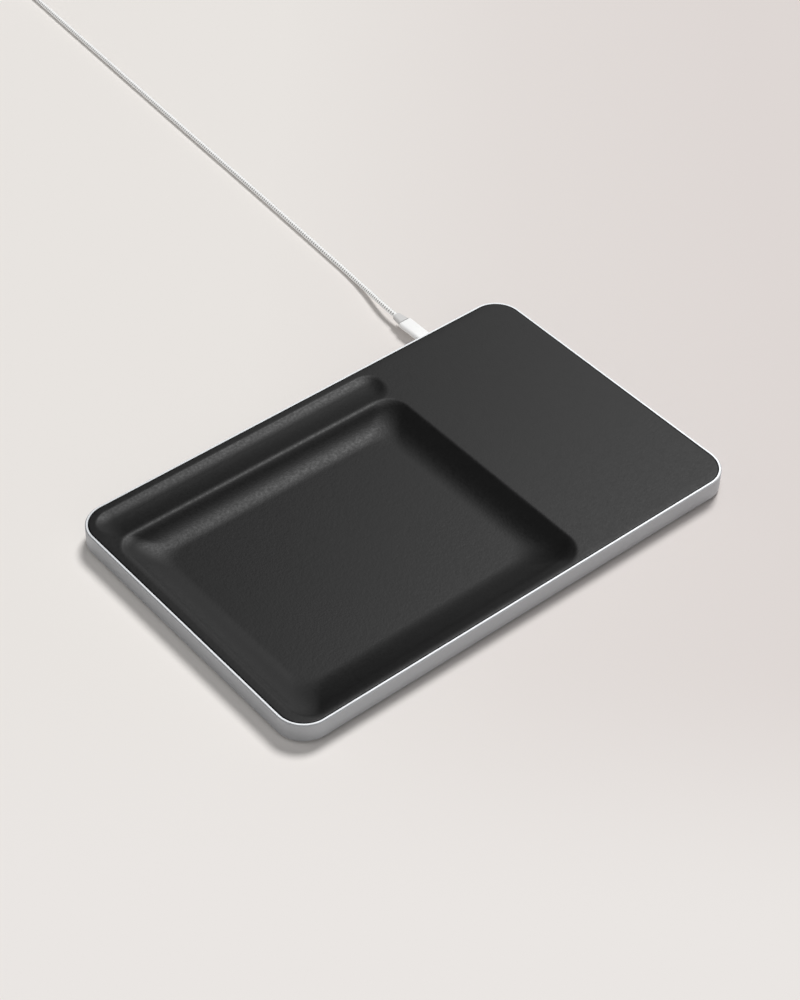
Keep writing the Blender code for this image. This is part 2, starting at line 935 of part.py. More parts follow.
def make_far_plug(shell_finish, tongue_finish, housing_finish, collar_finish):
    """The plug at the far end, which lies on the table beside the coil."""
    centre = (far_collar_start.y, far_collar_start.z)
    collar_back = far_collar_start.x + collar_length
    housing_start = collar_back + fit_gap
    housing_end = housing_start + far_plug_length
    shell_start = housing_end + fit_gap
    shell_end = shell_start + far_shell_length

    def section(width, height, corner):
        return centred_outline(width, height, corner, centre)

    def round_section(width, height):
        return section(width, height, height / 2)

    collar = loft(
        "far_collar",
        [
            sideways(round_section(collar_end, collar_end - fit_gap), far_collar_start.x),
            sideways(round_section(collar_width, collar_height), collar_back),
        ],
        collar_finish,
    )
    full = section(far_plug_width, far_plug_height, far_plug_corner)
    small = section(
        far_plug_width - 2 * plug_edge,
        far_plug_height - 2 * plug_edge,
        far_plug_corner - plug_edge,
    )
    housing = loft(
        "far_plug_housing",
        [
            sideways(small, housing_start),
            sideways(full, housing_start + plug_edge),
            sideways(full, housing_end - plug_edge),
            sideways(small, housing_end),
        ],
        housing_finish,
    )
    outer = section(far_shell_width, far_shell_height, far_shell_corner)
    inner = section(
        far_shell_width - 2 * far_shell_wall,
        far_shell_height - 2 * far_shell_wall,
        far_shell_corner / 2,
    )
    shell = loft(
        "far_plug_shell",
        tube_rings(sideways, outer, inner, shell_end, shell_start, far_shell_wall),
        shell_finish,
    )
    tongue_low = far_collar_start.z - far_shell_height / 2 + far_shell_wall + fit_gap
    far_tongue_width = far_shell_width - 2 * (far_shell_wall + far_tongue_gap)
    tongue_plan = centred_outline(
        far_tongue_width,
        far_tongue_height,
        component_corner,
        (far_collar_start.y, tongue_low + far_tongue_height / 2),
    )
    tongue_start = shell_start + far_shell_wall + fit_gap
    tongue = loft(
        "far_plug_tongue",
        [
            sideways(tongue_plan, tongue_start),
            sideways(tongue_plan, tongue_start + far_tongue_length),
        ],
        tongue_finish,
    )
    return collar, housing, shell, tongue


def coil_points():
    """The cord's turns: a layer that spirals in, half a turn of climb, and one that spirals out."""
    count = round(2 * coil_turns_per_layer * coil_points_per_turn)
    middle = coil_turns_per_layer
    points = []
    for index in range(count + 1):
        turns = index / coil_points_per_turn
        radius = coil_inner_radius + coil_pitch * abs(turns - middle)
        climb = min(max((turns - middle) * 2 + 0.5, 0.0), 1.0)
        height = coil_start.z + coil_pitch * climb * climb * (3 - 2 * climb)
        angle = math.radians(180) - math.radians(360) * turns
        points.append(
            Vector(
                (
                    coil_centre.x + radius * math.cos(angle),
                    coil_centre.y + radius * math.sin(angle),
                    height,
                )
            )
        )
    return points


def least_self_gap(points):
    """The least space between the turns, between points more than half a turn apart."""
    apart = coil_points_per_turn // 2
    nearest = min(
        (a - b).length
        for index, a in enumerate(points)
        for b in points[index + apart :]
    )
    return nearest - cord_diameter


def inside_ends(points):
    """The same line, cut back by half a gap at each end, so that neighbours keep a gap."""
    start, end = points[0], points[-1]
    trimmed = list(points)
    trimmed[0] = start + (points[1] - start).normalized() * fit_gap / 2
    trimmed[-1] = end + (points[-2] - end).normalized() * fit_gap / 2
    return trimmed


def make_cord(finish):
    """The cord in three nodes: the stretch to the coil, the coil, and the tail to the far plug."""
    turns = coil_points()
    print(f"least gap between the coil's turns: {least_self_gap(turns) * 1000:.2f} mm")
    lead = inside_ends(smooth_points(lead_route, cord_step))
    tail = inside_ends(smooth_points(tail_route, tail_step))
    return (
        tube("cable_lead", lead, cord_radius, 2, finish),
        tube("cable_coil", inside_ends(turns), cord_radius, 1, finish),
        tube("cable_tail", tail, cord_radius, 2, finish),
    )


def make_cable_tie(finish):
    """A strap round all the turns, on the side of the coil that faces the tray."""
    half = tie_width / 2
    inner_turn = coil_inner_radius - cord_radius
    near = math.sqrt(inner_turn**2 - half**2) - tie_slack
    far = coil_outer_radius + cord_radius + tie_slack
    low = coil_start.z - cord_radius - tie_slack
    high = coil_start.z + coil_pitch + cord_radius + tie_slack
    y = coil_centre.y
    opening = outline(y - far, y - near, low, high, tie_corner)
    strap = outline(
        y - far - tie_thickness,
        y - near + tie_thickness,
        low - tie_thickness,
        high + tie_thickness,
        tie_corner + tie_thickness,
    )
    left, right = coil_centre.x - half, coil_centre.x + half
    return loft(
        "cable_tie",
        [
            sideways(strap, left),
            sideways(strap, right),
            sideways(opening, right),
            sideways(opening, left),
        ],
        finish,
        ring_closed=True,
    )


def main():
    clear_scene()
    aluminium = material("anodised aluminium", (0.62, 0.62, 0.61), 0.35, 1.0)
    black_leather = material("black leather", (0.020, 0.020, 0.020), 0.55)
    black_plastic = material("black plastic", (0.018, 0.018, 0.019), 0.55)
    silicone = material("grey silicone", (0.060, 0.060, 0.060), 0.80)
    copper = material("copper winding", (0.72, 0.30, 0.16), 0.40, 1.0)
    ferrite = material("ferrite", (0.035, 0.033, 0.032), 0.70)
    board_green = material("circuit board", (0.015, 0.090, 0.040), 0.50)
    chip_black = material("chip body", (0.022, 0.022, 0.024), 0.60)
    capacitor_tan = material("capacitor", (0.42, 0.27, 0.13), 0.50)
    steel = material("plated steel", (0.56, 0.56, 0.55), 0.35, 1.0)
    white_plastic = material("white plastic", (0.85, 0.85, 0.84), 0.35)
    grey_collar = material("grey collar", (0.48, 0.48, 0.47), 0.60)
    braid = material("braided sleeve", (0.70, 0.70, 0.69), 0.80)

    body = make_body(aluminium)
    leather_top = make_leather(black_leather)
    carrier = make_carrier(black_plastic)
    mat = make_foot_mat(silicone)
    make_bracket(black_plastic)
    make_ferrite(ferrite)
    coils = make_charging_coils(copper)
    make_coil_leads(copper)
    make_board(board_green)
    make_board_parts(chip_black, chip_black, capacitor_tan)
    receptacle = make_receptacle(steel, chip_black)
    screws = make_screws(steel)

    plug = make_tray_plug(steel, white_plastic, grey_collar)
    cord = make_cord(braid)
    tie = make_cable_tie(black_plastic)
    far_plug = make_far_plug(steel, white_plastic, white_plastic, grey_collar)

    for piece in (body, leather_top, carrier, mat, tie, *coils, *receptacle, *screws, *plug):
        smooth(piece)
    for piece in far_plug:
        smooth(piece)

    axis = bpy.data.objects.new("cable_unplug_axis", None)
    axis.location = (port_x, plug_front_y, port_height)
    bpy.context.scene.collection.objects.link(axis)
    for piece in (*plug, *cord, tie, *far_plug):
        piece.parent = axis
        piece.location = -axis.location


main()
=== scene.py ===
"""Finishes, cable, stage and camera for the charging tray.

Units are metres and +Z is up. The origin is on the table, under the middle of the tray.
"""

import math

import bmesh
import bpy
import numpy as np
from bpy.props import FloatProperty, FloatVectorProperty, IntProperty, PointerProperty
from mathutils import Matrix, Vector


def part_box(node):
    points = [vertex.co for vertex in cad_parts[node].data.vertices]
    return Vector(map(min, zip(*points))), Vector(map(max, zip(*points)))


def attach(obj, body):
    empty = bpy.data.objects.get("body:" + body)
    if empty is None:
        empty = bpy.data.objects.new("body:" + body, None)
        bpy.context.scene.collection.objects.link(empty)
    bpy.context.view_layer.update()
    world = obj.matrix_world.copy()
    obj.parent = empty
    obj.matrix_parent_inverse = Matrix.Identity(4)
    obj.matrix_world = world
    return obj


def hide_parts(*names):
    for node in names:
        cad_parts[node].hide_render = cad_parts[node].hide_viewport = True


bl_info = {
    "name": "Charging tray",
    "version": (1, 0, 0),
    "blender": (4, 5, 0),
    "location": "3D View > Sidebar > Tray",
    "description": "Builds the pieces, finishes and stage of a leather-topped charging tray",
    "category": "Object",
}

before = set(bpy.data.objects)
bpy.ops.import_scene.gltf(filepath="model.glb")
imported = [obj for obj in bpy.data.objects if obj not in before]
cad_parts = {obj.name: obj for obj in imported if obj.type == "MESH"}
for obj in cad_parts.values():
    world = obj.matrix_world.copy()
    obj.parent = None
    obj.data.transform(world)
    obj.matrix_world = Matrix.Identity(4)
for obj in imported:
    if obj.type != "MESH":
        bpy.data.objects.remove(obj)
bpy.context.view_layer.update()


def box_of(node):
    """The lowest and highest corners of a CAD piece."""
    return [Vector(corner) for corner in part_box(node)]


body_low, body_high = box_of("aluminium_body")
mat_low, mat_high = box_of("foot_mat")
leather_high = box_of("leather_top")[1]

# Sizes that the CAD gives its pieces
tray_top = body_high.z
fit_gap = 0.0003
body_corner = 0.0169
body_wall = 0.0015
body_floor_top = 0.0038
rim_chamfer = 0.0005
underside_chamfer = 0.0004
inner_edge_chamfer = 0.0001
mat_inset = 0.0035
mat_ceiling = mat_high.z + fit_gap
leather_thickness = 0.0012
leather_corner = body_corner - body_wall - fit_gap
port_centre = (0.09665, 0.0058)
port_width = 0.00924
port_height = 0.0035
body_screw_places = [(x, y) for x in (-0.1401, 0.0400, 0.1401) for y in (-0.08535, 0.08535)]
board_screw_places = [(x, y) for x in (0.06465, 0.12865) for y in (0.0640, 0.0870)]

# How far a cutter runs past what it cuts, and how deep a joined form sits in the body
overrun = 0.0010
embed = 0.0004

# Radii and heights of the board's bosses, the holes in them, and the body screws' holes
boss_top = body_floor_top + 0.0004
cone_low = mat_ceiling + 0.0001
boss_profile = ((0.0026, body_floor_top - embed), (0.0026, boss_top))
boss_hole_profile = ((0.0013, 0.0030), (0.0013, boss_top + overrun))
body_hole_profile = (
    (0.00265, mat_ceiling - overrun),
    (0.00265, cone_low),
    (0.00155, cone_low + 0.0012),
    (0.00155, body_floor_top + overrun),
)

# The height of each kind of screw's head and the radius of its shank, and what all share
screw_sizes = {"body": (0.0012, 0.00125), "bracket": (0.0011, 0.0010), "board": (0.0011, 0.0010)}
thread_pitch = 0.0005
thread_depth = 0.00018
socket_share = 0.46
socket_depth = 0.6

# Shares of a charging coil's height, radius and wire that its wire, bore and pitch take
wire_share = 0.98
bore_share = 0.455
pitch_share = 2.3

# The leather's plain dishes. The groove is half as deep as the solid's, to match its highlights.
recess = dict(left=-0.1428, right=0.0451, front=-0.08955, back=0.06725, depth=0.0064, run=0.0225)
recess.update(crest_corner=0.0134, floor_corner=0.0120)
groove = dict(left=-0.1428, right=0.0472, front=0.06985, back=0.09035, depth=0.0011, run=0.0095)
groove.update(crest_corner=0.0101, floor_corner=0.0006)

# Where the leather's crests and the feet of its walls lie, and where the plain dish has them
recess_across = ((-0.1422, -0.1232, 0.0222, 0.0446), (-0.1428, -0.1203, 0.0226, 0.0451))
recess_along = ((-0.0886, -0.0670, 0.0472, 0.0669), (-0.08955, -0.06705, 0.04475, 0.06725))
groove_along = ((0.0690, 0.0815, 0.0894), (0.06985, 0.0801, 0.09035))

# The leather's grid lines: where a stretch of them ends, and their spacing in it
across_stretches = ((-0.1180, 0.0006), (0.0180, 0.0025), (0.0520, 0.0005))
along_stretches = ((-0.0640, 0.0006), (0.0420, 0.0025))
edge_shares = (0.05, 0.18, 0.40, 0.68)

cord_diameter = 0.0030
cord_radius = cord_diameter / 2
coil_low = 0.00245
coil_pitch = 0.0035
coil_inner_radius = 0.010125
coil_turns_per_layer = 4.5
far_plug_axis = 0.0033

# The cord's route from the collar, down to the table and along it, to the coil
lead_route = (
    (0.09665, 0.1250, 0.00580),
    (0.09680, 0.1310, 0.00575),
    (0.09720, 0.1360, 0.00555),
    (0.09820, 0.1430, 0.00490),
    (0.09980, 0.1520, 0.00370),
    (0.10120, 0.1610, 0.00260),
    (0.10250, 0.1710, 0.00185),
    (0.10350, 0.1810, 0.00155),
    (0.10410, 0.1900, cord_radius),
    (0.10605, 0.2200, cord_radius),
    (0.10800, 0.2500, cord_radius),
    (0.10990, 0.2800, cord_radius),
    (0.11160, 0.3100, cord_radius),
    (0.11330, 0.3400, cord_radius),
    (0.11510, 0.3700, cord_radius),
    (0.11695, 0.4000, cord_radius),
    (0.11880, 0.4300, cord_radius),
    (0.12070, 0.4600, cord_radius),
    (0.12255, 0.4900, cord_radius),
    (0.12450, 0.5200, cord_radius),
    (0.12580, 0.5400, 0.00155),
    (0.12680, 0.5550, 0.00190),
    (0.12735, 0.5640, 0.00230),
    (0.12750, 0.5710, coil_low),
)

# The route from the coil's end to the far plug, beside the coil
tail_route = (
    (0.12750, 0.5710, coil_low + coil_pitch),
    (0.12760, 0.5800, 0.00570),
    (0.12850, 0.5900, 0.00430),
    (0.13120, 0.6000, 0.00260),
    (0.13700, 0.6090, 0.00170),
    (0.14600, 0.6155, 0.00165),
    (0.15600, 0.6185, 0.00240),
    (0.16300, 0.6190, far_plug_axis),
    (0.16800, 0.6190, far_plug_axis),
)
coil_centre = Vector((0.153375, 0.5710, coil_low))

# The two plugs' housings, and the collar between each of them and the cord
near_housing = dict(
    start=0.09555, end=0.11725, width=0.0093, height=0.0036, corner=0.00179, edge=0.0005
)
far_housing = dict(
    start=0.17575, end=0.19875, width=0.0150, height=0.0066, corner=0.0022, edge=0.0007
)
collar = dict(length=0.0073, wide=0.0074, narrow=0.0054, height=0.0034, edge=0.0006)

# The camera's turn, lift and roll in degrees, its place, its lens in millimetres and its shift
camera_angles = (-41.137, 43.908, 1.766)
camera_place = (-0.606961, -0.678613, 0.885182)
camera_lens = 85.434
camera_shift = 0.01176

# The key lamp's turn and lift in degrees
key_angles = (28.3, 56.2)

# A bright card at the right, for reflections alone: its brightness as a direction's X grows
card_levels = ((0.32, 0.0), (0.45, 0.05), (0.58, 0.62), (0.75, 0.74), (1.00, 0.89))
card_strength = 2.0


def linear(code):
    """The linear colour of an sRGB hex code."""
    parts = [int(code[place : place + 2], 16) / 255 for place in (1, 3, 5)]
    return tuple(p / 12.92 if p <= 0.04045 else ((p + 0.055) / 1.055) ** 2.4 for p in parts)


def shaded(colour, share):
    """The colour, lighter or darker by a share."""
    return tuple(min(part * share, 1.0) for part in colour)


def size(name, description, default):
    """A setting in metres."""
    return FloatProperty(
        name=name, description=description, default=default, min=0.0, unit="LENGTH", precision=5
    )


def tint(name, description, code):
    """A colour setting."""
    colour = linear(code)
    return FloatVectorProperty(
        name=name, description=description, default=colour, subtype="COLOR", min=0.0, max=1.0
    )


def amount(name, description, default, high=1.0):
    """A setting without a unit."""
    return FloatProperty(name=name, description=description, default=default, min=0.0, max=high)


class TrayLeather(bpy.types.PropertyGroup):
    """Shape of the leather's soft lips, and its finish"""

    right_lip: size("Right lip", "Radius of the recess's lip beside the pad", 0.0060)
    left_lip: size("Left lip", "Radius of the recess's left lip", 0.0065)
    front_lip: size("Front lip", "Radius of the recess's front lip", 0.0120)
    back_lip: size("Back lip", "Radius of the recess's back lip", 0.0110)
    groove_back_lip: size("Groove back lip", "Radius of the groove's back lip", 0.0080)
    groove_front_lip: size("Groove front lip", "Radius of the groove's front lip", 0.0200)
    groove_end_lip: size("Groove end lip", "Radius of the groove's right lip", 0.0140)
    edge_radius: size("Edge radius", "Rounding of the leather's cut edge", 0.00035)
    roll_width: size("Roll width", "Width of the soft roll along the leather's edge", 0.0050)
    roll_drop: size("Roll drop", "How far the leather rolls down at its edge", 0.00006)
    grain_size: size("Grain size", "Width of one pebble of the grain", 0.0010)
    colour: tint("Colour", "Dyed leather", "#0f0f0f")
    roughness: amount("Roughness", "Roughness of the finish coat", 0.39)
    gloss: amount("Gloss", "Specular level of the finish coat", 0.118)


class TrayBody(bpy.types.PropertyGroup):
    """Finish of the aluminium body"""

    colour: tint("Colour", "Clear anodised aluminium", "#b5b7ba")
    roughness: amount("Roughness", "Roughness of the blasted walls", 0.56)
    corner_steps: IntProperty(
        name="Corner steps", description="Faces round each corner", default=24, min=6, max=64
    )


class TrayCable(bpy.types.PropertyGroup):
    """Finish of the cord and its plugs"""

    sleeve_colour: tint("Sleeve", "Polyester yarn", "#f6f6f5")
    # This colour is painted shade that stands for the shadow in the gaps between the yarns.
    gap_shade_colour: tint("Gap shade", "Gaps between the yarns", "#686867")
    stitch_length: size("Stitch length", "Spacing of the braid's gaps along the cord", 0.0019)
    stitch_rows: IntProperty(
        name="Stitch rows", description="Rows of gaps round the cord", default=4, min=4, max=32
    )
    housing_colour: tint("Housing", "Moulded plug housing", "#f8f8f7")
    collar_colour: tint("Collar", "Moulded collar", "#cfcecd")


class TrayInside(bpy.types.PropertyGroup):
    """Finishes of the pieces inside the tray and under it"""

    mat_colour: tint("Foot mat", "Moulded silicone", "#3b3b3c")
    carrier_colour: tint("Carrier", "Moulded black plastic", "#1c1c1d")
    copper_colour: tint("Copper", "Enamelled copper wire", "#c0703d")
    board_colour: tint("Board", "Solder mask", "#14482c")
    steel_colour: tint("Steel", "Nickel-plated steel", "#c3c1bc")


class TrayStage(bpy.types.PropertyGroup):
    """Floor, lights and surroundings"""

    # The three floor tones carry painted light falloff across the floor.
    left_floor: tint("Left floor", "Floor at the left", "#e9e5e1")
    right_floor: tint("Right floor", "Floor at the right", "#dfd8d5")
    front_floor: tint("Front floor", "Floor in front", "#ebe7e4")
    key_strength: amount("Key strength", "Strength of the key lamp", 2.50, 20.0)
    key_spread: FloatProperty(
        name="Key spread",
        description="Angle that the key lamp fills in the sky",
        default=math.radians(19),
        min=0.0,
        max=math.radians(170),
        subtype="ANGLE",
    )
    bright_side: amount("Bright side", "Brightness of the surroundings at the left", 0.60, 4.0)
    dark_side: amount("Dark side", "Brightness of the surroundings at the back", 0.02, 4.0)


groups = {
    "tray_leather": TrayLeather,
    "tray_body": TrayBody,
    "tray_cable": TrayCable,
    "tray_inside": TrayInside,
    "tray_stage": TrayStage,
}


# Nearly all of a noise's values lie in this range.
noise_range = (0.3, 0.7)


def add_node(tree, kind, settings):
    """Adds a node. A setting is a property, an input's value or source, or a ramp's stops."""
    made = tree.nodes.new(f"ShaderNode{kind}")
    for name, value in settings.items():
        if isinstance(value, bpy.types.NodeSocket):
            tree.links.new(value, made.inputs[name])
        elif name == "stops":
            stops = made.color_ramp.elements
            for place, _ in value[1:-1]:
                stops.new(place)
            for stop, (place, colour) in zip(stops, value):
                stop.position = place
                stop.color = (*colour, 1.0)
        elif isinstance(name, str) and hasattr(made, name):
            setattr(made, name, value)
        else:
            made.inputs[name].default_value = value
    return made.outputs


def noise(tree, place, width, detail):
    """A noise whose patches have about this width."""
    settings = {"Vector": place, "Scale": 1 / width, "Detail": detail}
    return add_node(tree, "TexNoise", settings)["Fac"]


def ramp(tree, value, *stops):
    """The colour that a value picks. A stop is a place and its colour."""
    return add_node(tree, "ValToRGB", {"Fac": value, "stops": stops})["Color"]


def mottled(tree, value, colour, dark, pale):
    """The colour, from a darker share of it to a paler one, as a noise goes."""
    return ramp(tree, value, *zip(noise_range, (shaded(colour, dark), shaded(colour, pale))))


def mapped(tree, value, source, target=(0.0, 1.0), interpolation="LINEAR"):
    """A value carried from its source range to a target range."""
    ends = zip(("From Min", "From Max", "To Min", "To Max"), (*source, *target))
    settings = {"interpolation_type": interpolation, "Value": value, **dict(ends)}
    return add_node(tree, "MapRange", settings)["Result"]


def varied(tree, value, middle, spread):
    """A noise carried to a range about a middle."""
    return mapped(tree, value, noise_range, (middle - spread, middle + spread))


def bumped(tree, height, strength, distance):
    """The normal of a surface with this height, whose full distance is in metres."""
    settings = {"Height": height, "Strength": strength, "Distance": distance}
    return add_node(tree, "Bump", settings)["Normal"]


def worked_out(tree, operation, *terms):
    """The result of a math node. Each term is a number or another node's output."""
    return add_node(tree, "Math", {"operation": operation, **dict(enumerate(terms))})["Value"]


def axes(tree, vector):
    """A vector's X, Y and Z."""
    return add_node(tree, "SeparateXYZ", {"Vector": vector})


def start_finish(name, coordinates="Object"):
    """A material that has only its coordinates yet, its node tree, and the coordinates."""
    made = bpy.data.materials.new(name)
    made.use_nodes = True
    made.node_tree.nodes.clear()
    return made, made.node_tree, add_node(made.node_tree, "TexCoord", {})[coordinates]


def end_finish(made, settings):
    """Gives a material its shader and its output."""
    shader = add_node(made.node_tree, "BsdfPrincipled", settings)
    add_node(made.node_tree, "OutputMaterial", {"Surface": shader["BSDF"]})
    return made


def grey(tone):
    """A neutral colour."""
    return (tone, tone, tone)


def fine_grain_leather(settings):
    """Dyed leather, printed with a fine grain, under a matt coat: black, with a soft sheen."""
    made, tree, place = start_finish("fine_grain_leather")
    dye = noise(tree, place, width=0.006, detail=4.0)
    spray = noise(tree, place, width=0.0016, detail=1.0)
    crease = noise(tree, place, width=0.0022, detail=3.0)
    cells = {"Vector": place, "Scale": 1 / settings.grain_size, "Smoothness": 0.6}
    pebble = add_node(tree, "TexVoronoi", {"feature": "SMOOTH_F1", **cells})["Distance"]
    height = worked_out(tree, "MULTIPLY_ADD", pebble, -0.7, crease)
    finish = {
        "Base Color": mottled(tree, dye, settings.colour, dark=0.88, pale=1.12),
        "Roughness": varied(tree, spray, settings.roughness, spread=0.04),
        "Normal": bumped(tree, height, strength=0.45, distance=0.00006),
        "IOR": 1.5,
        "Specular IOR Level": settings.gloss,
    }
    return end_finish(made, finish)


def blasted_anodised_aluminium(settings):
    """Aluminium, milled, bead-blasted and clear anodised: satin grey with a very fine sparkle."""
    made, tree, place = start_finish("blasted_anodised_aluminium")
    # Blasting pits are about 0.05 mm wide and are drawn at 0.5 mm, to show at all.
    pits = noise(tree, place, width=0.0005, detail=2.0)
    finish = {
        "Base Color": mottled(tree, pits, settings.colour, dark=0.96, pale=1.03),
        "Roughness": varied(tree, pits, settings.roughness, spread=0.03),
        "Normal": bumped(tree, pits, strength=0.15, distance=0.00002),
        "Metallic": 1.0,
    }
    return end_finish(made, finish)


def polished_rim_aluminium():
    """Aluminium, cut bright after blasting and then anodised: a pale edge with faint tool marks."""
    made, tree, place = start_finish("polished_rim_aluminium")
    marks = noise(tree, place, width=0.0012, detail=1.0)
    finish = {
        "Base Color": ramp(tree, marks, *zip(noise_range, (linear("#a6a8aa"), linear("#afb0b2")))),
        "Roughness": varied(tree, marks, 0.56, spread=0.04),
        "Metallic": 1.0,
    }
    return end_finish(made, finish)


def moulded(name, colour, roughness, grain, depth, gloss=0.5):
    """A moulded plastic or rubber, with the width and depth of its tool's spark-eroded grain."""
    made, tree, place = start_finish(name)
    # Such grain is about 0.1 mm wide and is drawn some times wider, to show at all.
    texture = noise(tree, place, width=grain, detail=2.0)
    flow = noise(tree, place, width=0.012, detail=2.0)
    finish = {
        "Base Color": mottled(tree, flow, colour, dark=0.97, pale=1.02),
        "Roughness": varied(tree, texture, roughness, spread=0.03),
        "Normal": bumped(tree, texture, strength=0.25, distance=depth),
        "IOR": 1.5,
        "Specular IOR Level": gloss,
    }
    return end_finish(made, finish)


def braided_polyester(settings):
    """White polyester yarns braided over the cord: crossing ribs, with painted shade in the gaps
    between them and a faint painted highlight on the ribs' crests.
    """
    made, tree, laid = start_finish("braided_polyester", "UV")
    split = axes(tree, laid)
    # The yarns are 0.3 mm wide and are drawn at six times that, for their gaps to show at all.
    # The eighth of a turn puts a row of gaps between the cord's top and its side.
    around = math.pi * cord_diameter / settings.stitch_rows
    along = math.pi / settings.stitch_length
    eighth = math.pi / 4
    waves = []
    for sign in (1.0, -1.0):
        slant = sign * math.pi / (2 * around)
        across = worked_out(tree, "MULTIPLY_ADD", split["Y"], slant, sign * eighth)
        phase = worked_out(tree, "MULTIPLY_ADD", split["X"], along, across)
        waves.append(worked_out(tree, "ABSOLUTE", worked_out(tree, "SINE", phase)))
    rib = worked_out(tree, "MAXIMUM", *waves)
    sleeve = settings.sleeve_colour
    # Painted shade darkens the gaps between the yarns, and a painted highlight makes the ribs'
    # crests a little paler.
    stops = ((0.42, settings.gap_shade_colour), (0.74, sleeve), (0.95, shaded(sleeve, 1.03)))
    finish = {
        "Base Color": ramp(tree, rib, *stops),
        "Normal": bumped(tree, rib, strength=0.35, distance=0.00012),
        "Roughness": 0.62,
        "IOR": 1.5,
        "Sheen Weight": 0.15,
        "Sheen Roughness": 0.5,
    }
    return end_finish(made, finish)


def nickel_plated_steel(colour):
    """Drawn or turned steel, barrel-plated with nickel: shiny warm grey with faint rub marks."""
    made, tree, place = start_finish("nickel_plated_steel")
    rubs = noise(tree, place, width=0.0008, detail=3.0)
    finish = {
        "Base Color": mottled(tree, rubs, colour, dark=0.92, pale=1.05),
        "Roughness": varied(tree, rubs, 0.28, spread=0.06),
        "Metallic": 1.0,
    }
    return end_finish(made, finish)


def enamelled_copper(colour):
    """Copper wire under clear enamel: deep orange metal, a little darker in patches."""
    made, tree, place = start_finish("enamelled_copper")
    strand = noise(tree, place, width=0.0015, detail=2.0)
    finish = {
        "Base Color": mottled(tree, strand, colour, dark=0.80, pale=1.10),
        "Normal": bumped(tree, strand, strength=0.2, distance=0.00004),
        "Metallic": 1.0,
        "Roughness": 0.30,
        "Coat Weight": 0.6,
        "Coat Roughness": 0.15,
    }
    return end_finish(made, finish)


def solder_masked_board(colour):
    """Glass-epoxy board under green solder mask: glossy, with paler copper runs under it."""
    made, tree, place = start_finish("solder_masked_board")
    pattern = {
        "Vector": place,
        "Scale": 1.0,
        "Brick Width": 0.0061,
        "Row Height": 0.0017,
        "Mortar Size": 0.00035,
        "Mortar Smooth": 0.2,
        "Color1": (*shaded(colour, 0.85), 1.0),
        "Color2": (*colour, 1.0),
        "Mortar": (*shaded(colour, 1.9), 1.0),
    }
    runs = add_node(tree, "TexBrick", pattern)
    raised = bumped(tree, runs["Fac"], strength=0.3, distance=0.00003)
    finish = {"Base Color": runs["Color"], "Normal": raised, "Roughness": 0.28, "IOR": 1.5}
    return end_finish(made, finish)


def contact_plastic(name, axis, pitch):
    """Black glass-filled plastic with a row of gold-plated contacts on it."""
    made, tree, place = start_finish(name)
    phase = worked_out(tree, "MULTIPLY", axes(tree, place)[axis], 2 * math.pi / pitch)
    strip = mapped(tree, worked_out(tree, "COSINE", phase), (0.05, 0.25))
    tone = ramp(tree, strip, (0.4, linear("#1a1a1b")), (0.6, linear("#d9b45a")))
    finish = {"Base Color": tone, "Metallic": strip, "Roughness": 0.35, "IOR": 1.5}
    return end_finish(made, finish)


def rounded_outline(left, right, front, back, corner, steps):
    """A rounded rectangle, anticlockwise."""
    points = []
    centres = (
        (right - corner, back - corner),
        (left + corner, back - corner),
        (left + corner, front + corner),
        (right - corner, front + corner),
    )
    for turn, (x, y) in enumerate(centres):
        for step in range(steps + 1):
            angle = math.pi / 2 * (turn + step / steps)
            points.append((x + corner * math.cos(angle), y + corner * math.sin(angle)))
    return points


def section(width, height, corner, centre, steps=12):
    """A rounded rectangle about a centre."""
    x, y = centre
    return rounded_outline(
        x - width / 2, x + width / 2, y - height / 2, y + height / 2, corner, steps
    )


def oval(width, height, centre):
    """A flat-sided oval about a centre."""
    return section(width, height, height / 2 - 0.00001, centre)


def circle(radius, centre, steps=32):
    """A circle about a centre."""
    x, y = centre
    turns = [2 * math.pi * step / steps for step in range(steps)]
    return [(x + radius * math.cos(turn), y + radius * math.sin(turn)) for turn in turns]


def level(points, z):
    """An outline laid flat at a height."""
    return [(x, y, z) for x, y in points]


def upright(points, y):
    """An outline that faces along Y."""
    return [(x, y, z) for x, z in points]


def sideways(points, x):
    """An outline that faces along X."""
    return [(x, y, z) for y, z in points]


def add_object(name, data):
    """An object in the scene for a mesh, lamp or camera."""
    made = bpy.data.objects.new(name, data)
    bpy.context.scene.collection.objects.link(made)
    return made


def meshed(name, shape):
    """The object of a finished bmesh."""
    data = bpy.data.meshes.new(name)
    shape.to_mesh(data)
    shape.free()
    return add_object(name, data)


def lofted(name, rings):
    """A solid through rings of equally many points."""
    shape = bmesh.new()
    layers = [[shape.verts.new(point) for point in ring] for ring in rings]
    shape.faces.new(layers[0])
    shape.faces.new(layers[-1])
    for lower, upper in zip(layers, layers[1:]):
        for index in range(len(lower)):
            after = (index + 1) % len(lower)
            shape.faces.new((lower[index], lower[after], upper[after], upper[index]))
    bmesh.ops.remove_doubles(shape, verts=shape.verts, dist=1e-7)
    bmesh.ops.recalc_face_normals(shape, faces=shape.faces)
    return meshed(name, shape)


def stacked(name, low, high, corner, steps, profile):
    """A solid with a box's rounded plan. The profile holds insets and heights."""
    rings = []
    for inset, z in profile:
        left, right, front, back = low.x + inset, high.x - inset, low.y + inset, high.y - inset
        rings.append(level(rounded_outline(left, right, front, back, corner - inset, steps), z))
    return lofted(name, rings)


def turned(name, place, profile):
    """A round solid on an upright axis. The profile holds radii and heights."""
    return lofted(name, [level(circle(radius, place), z) for radius, z in profile])


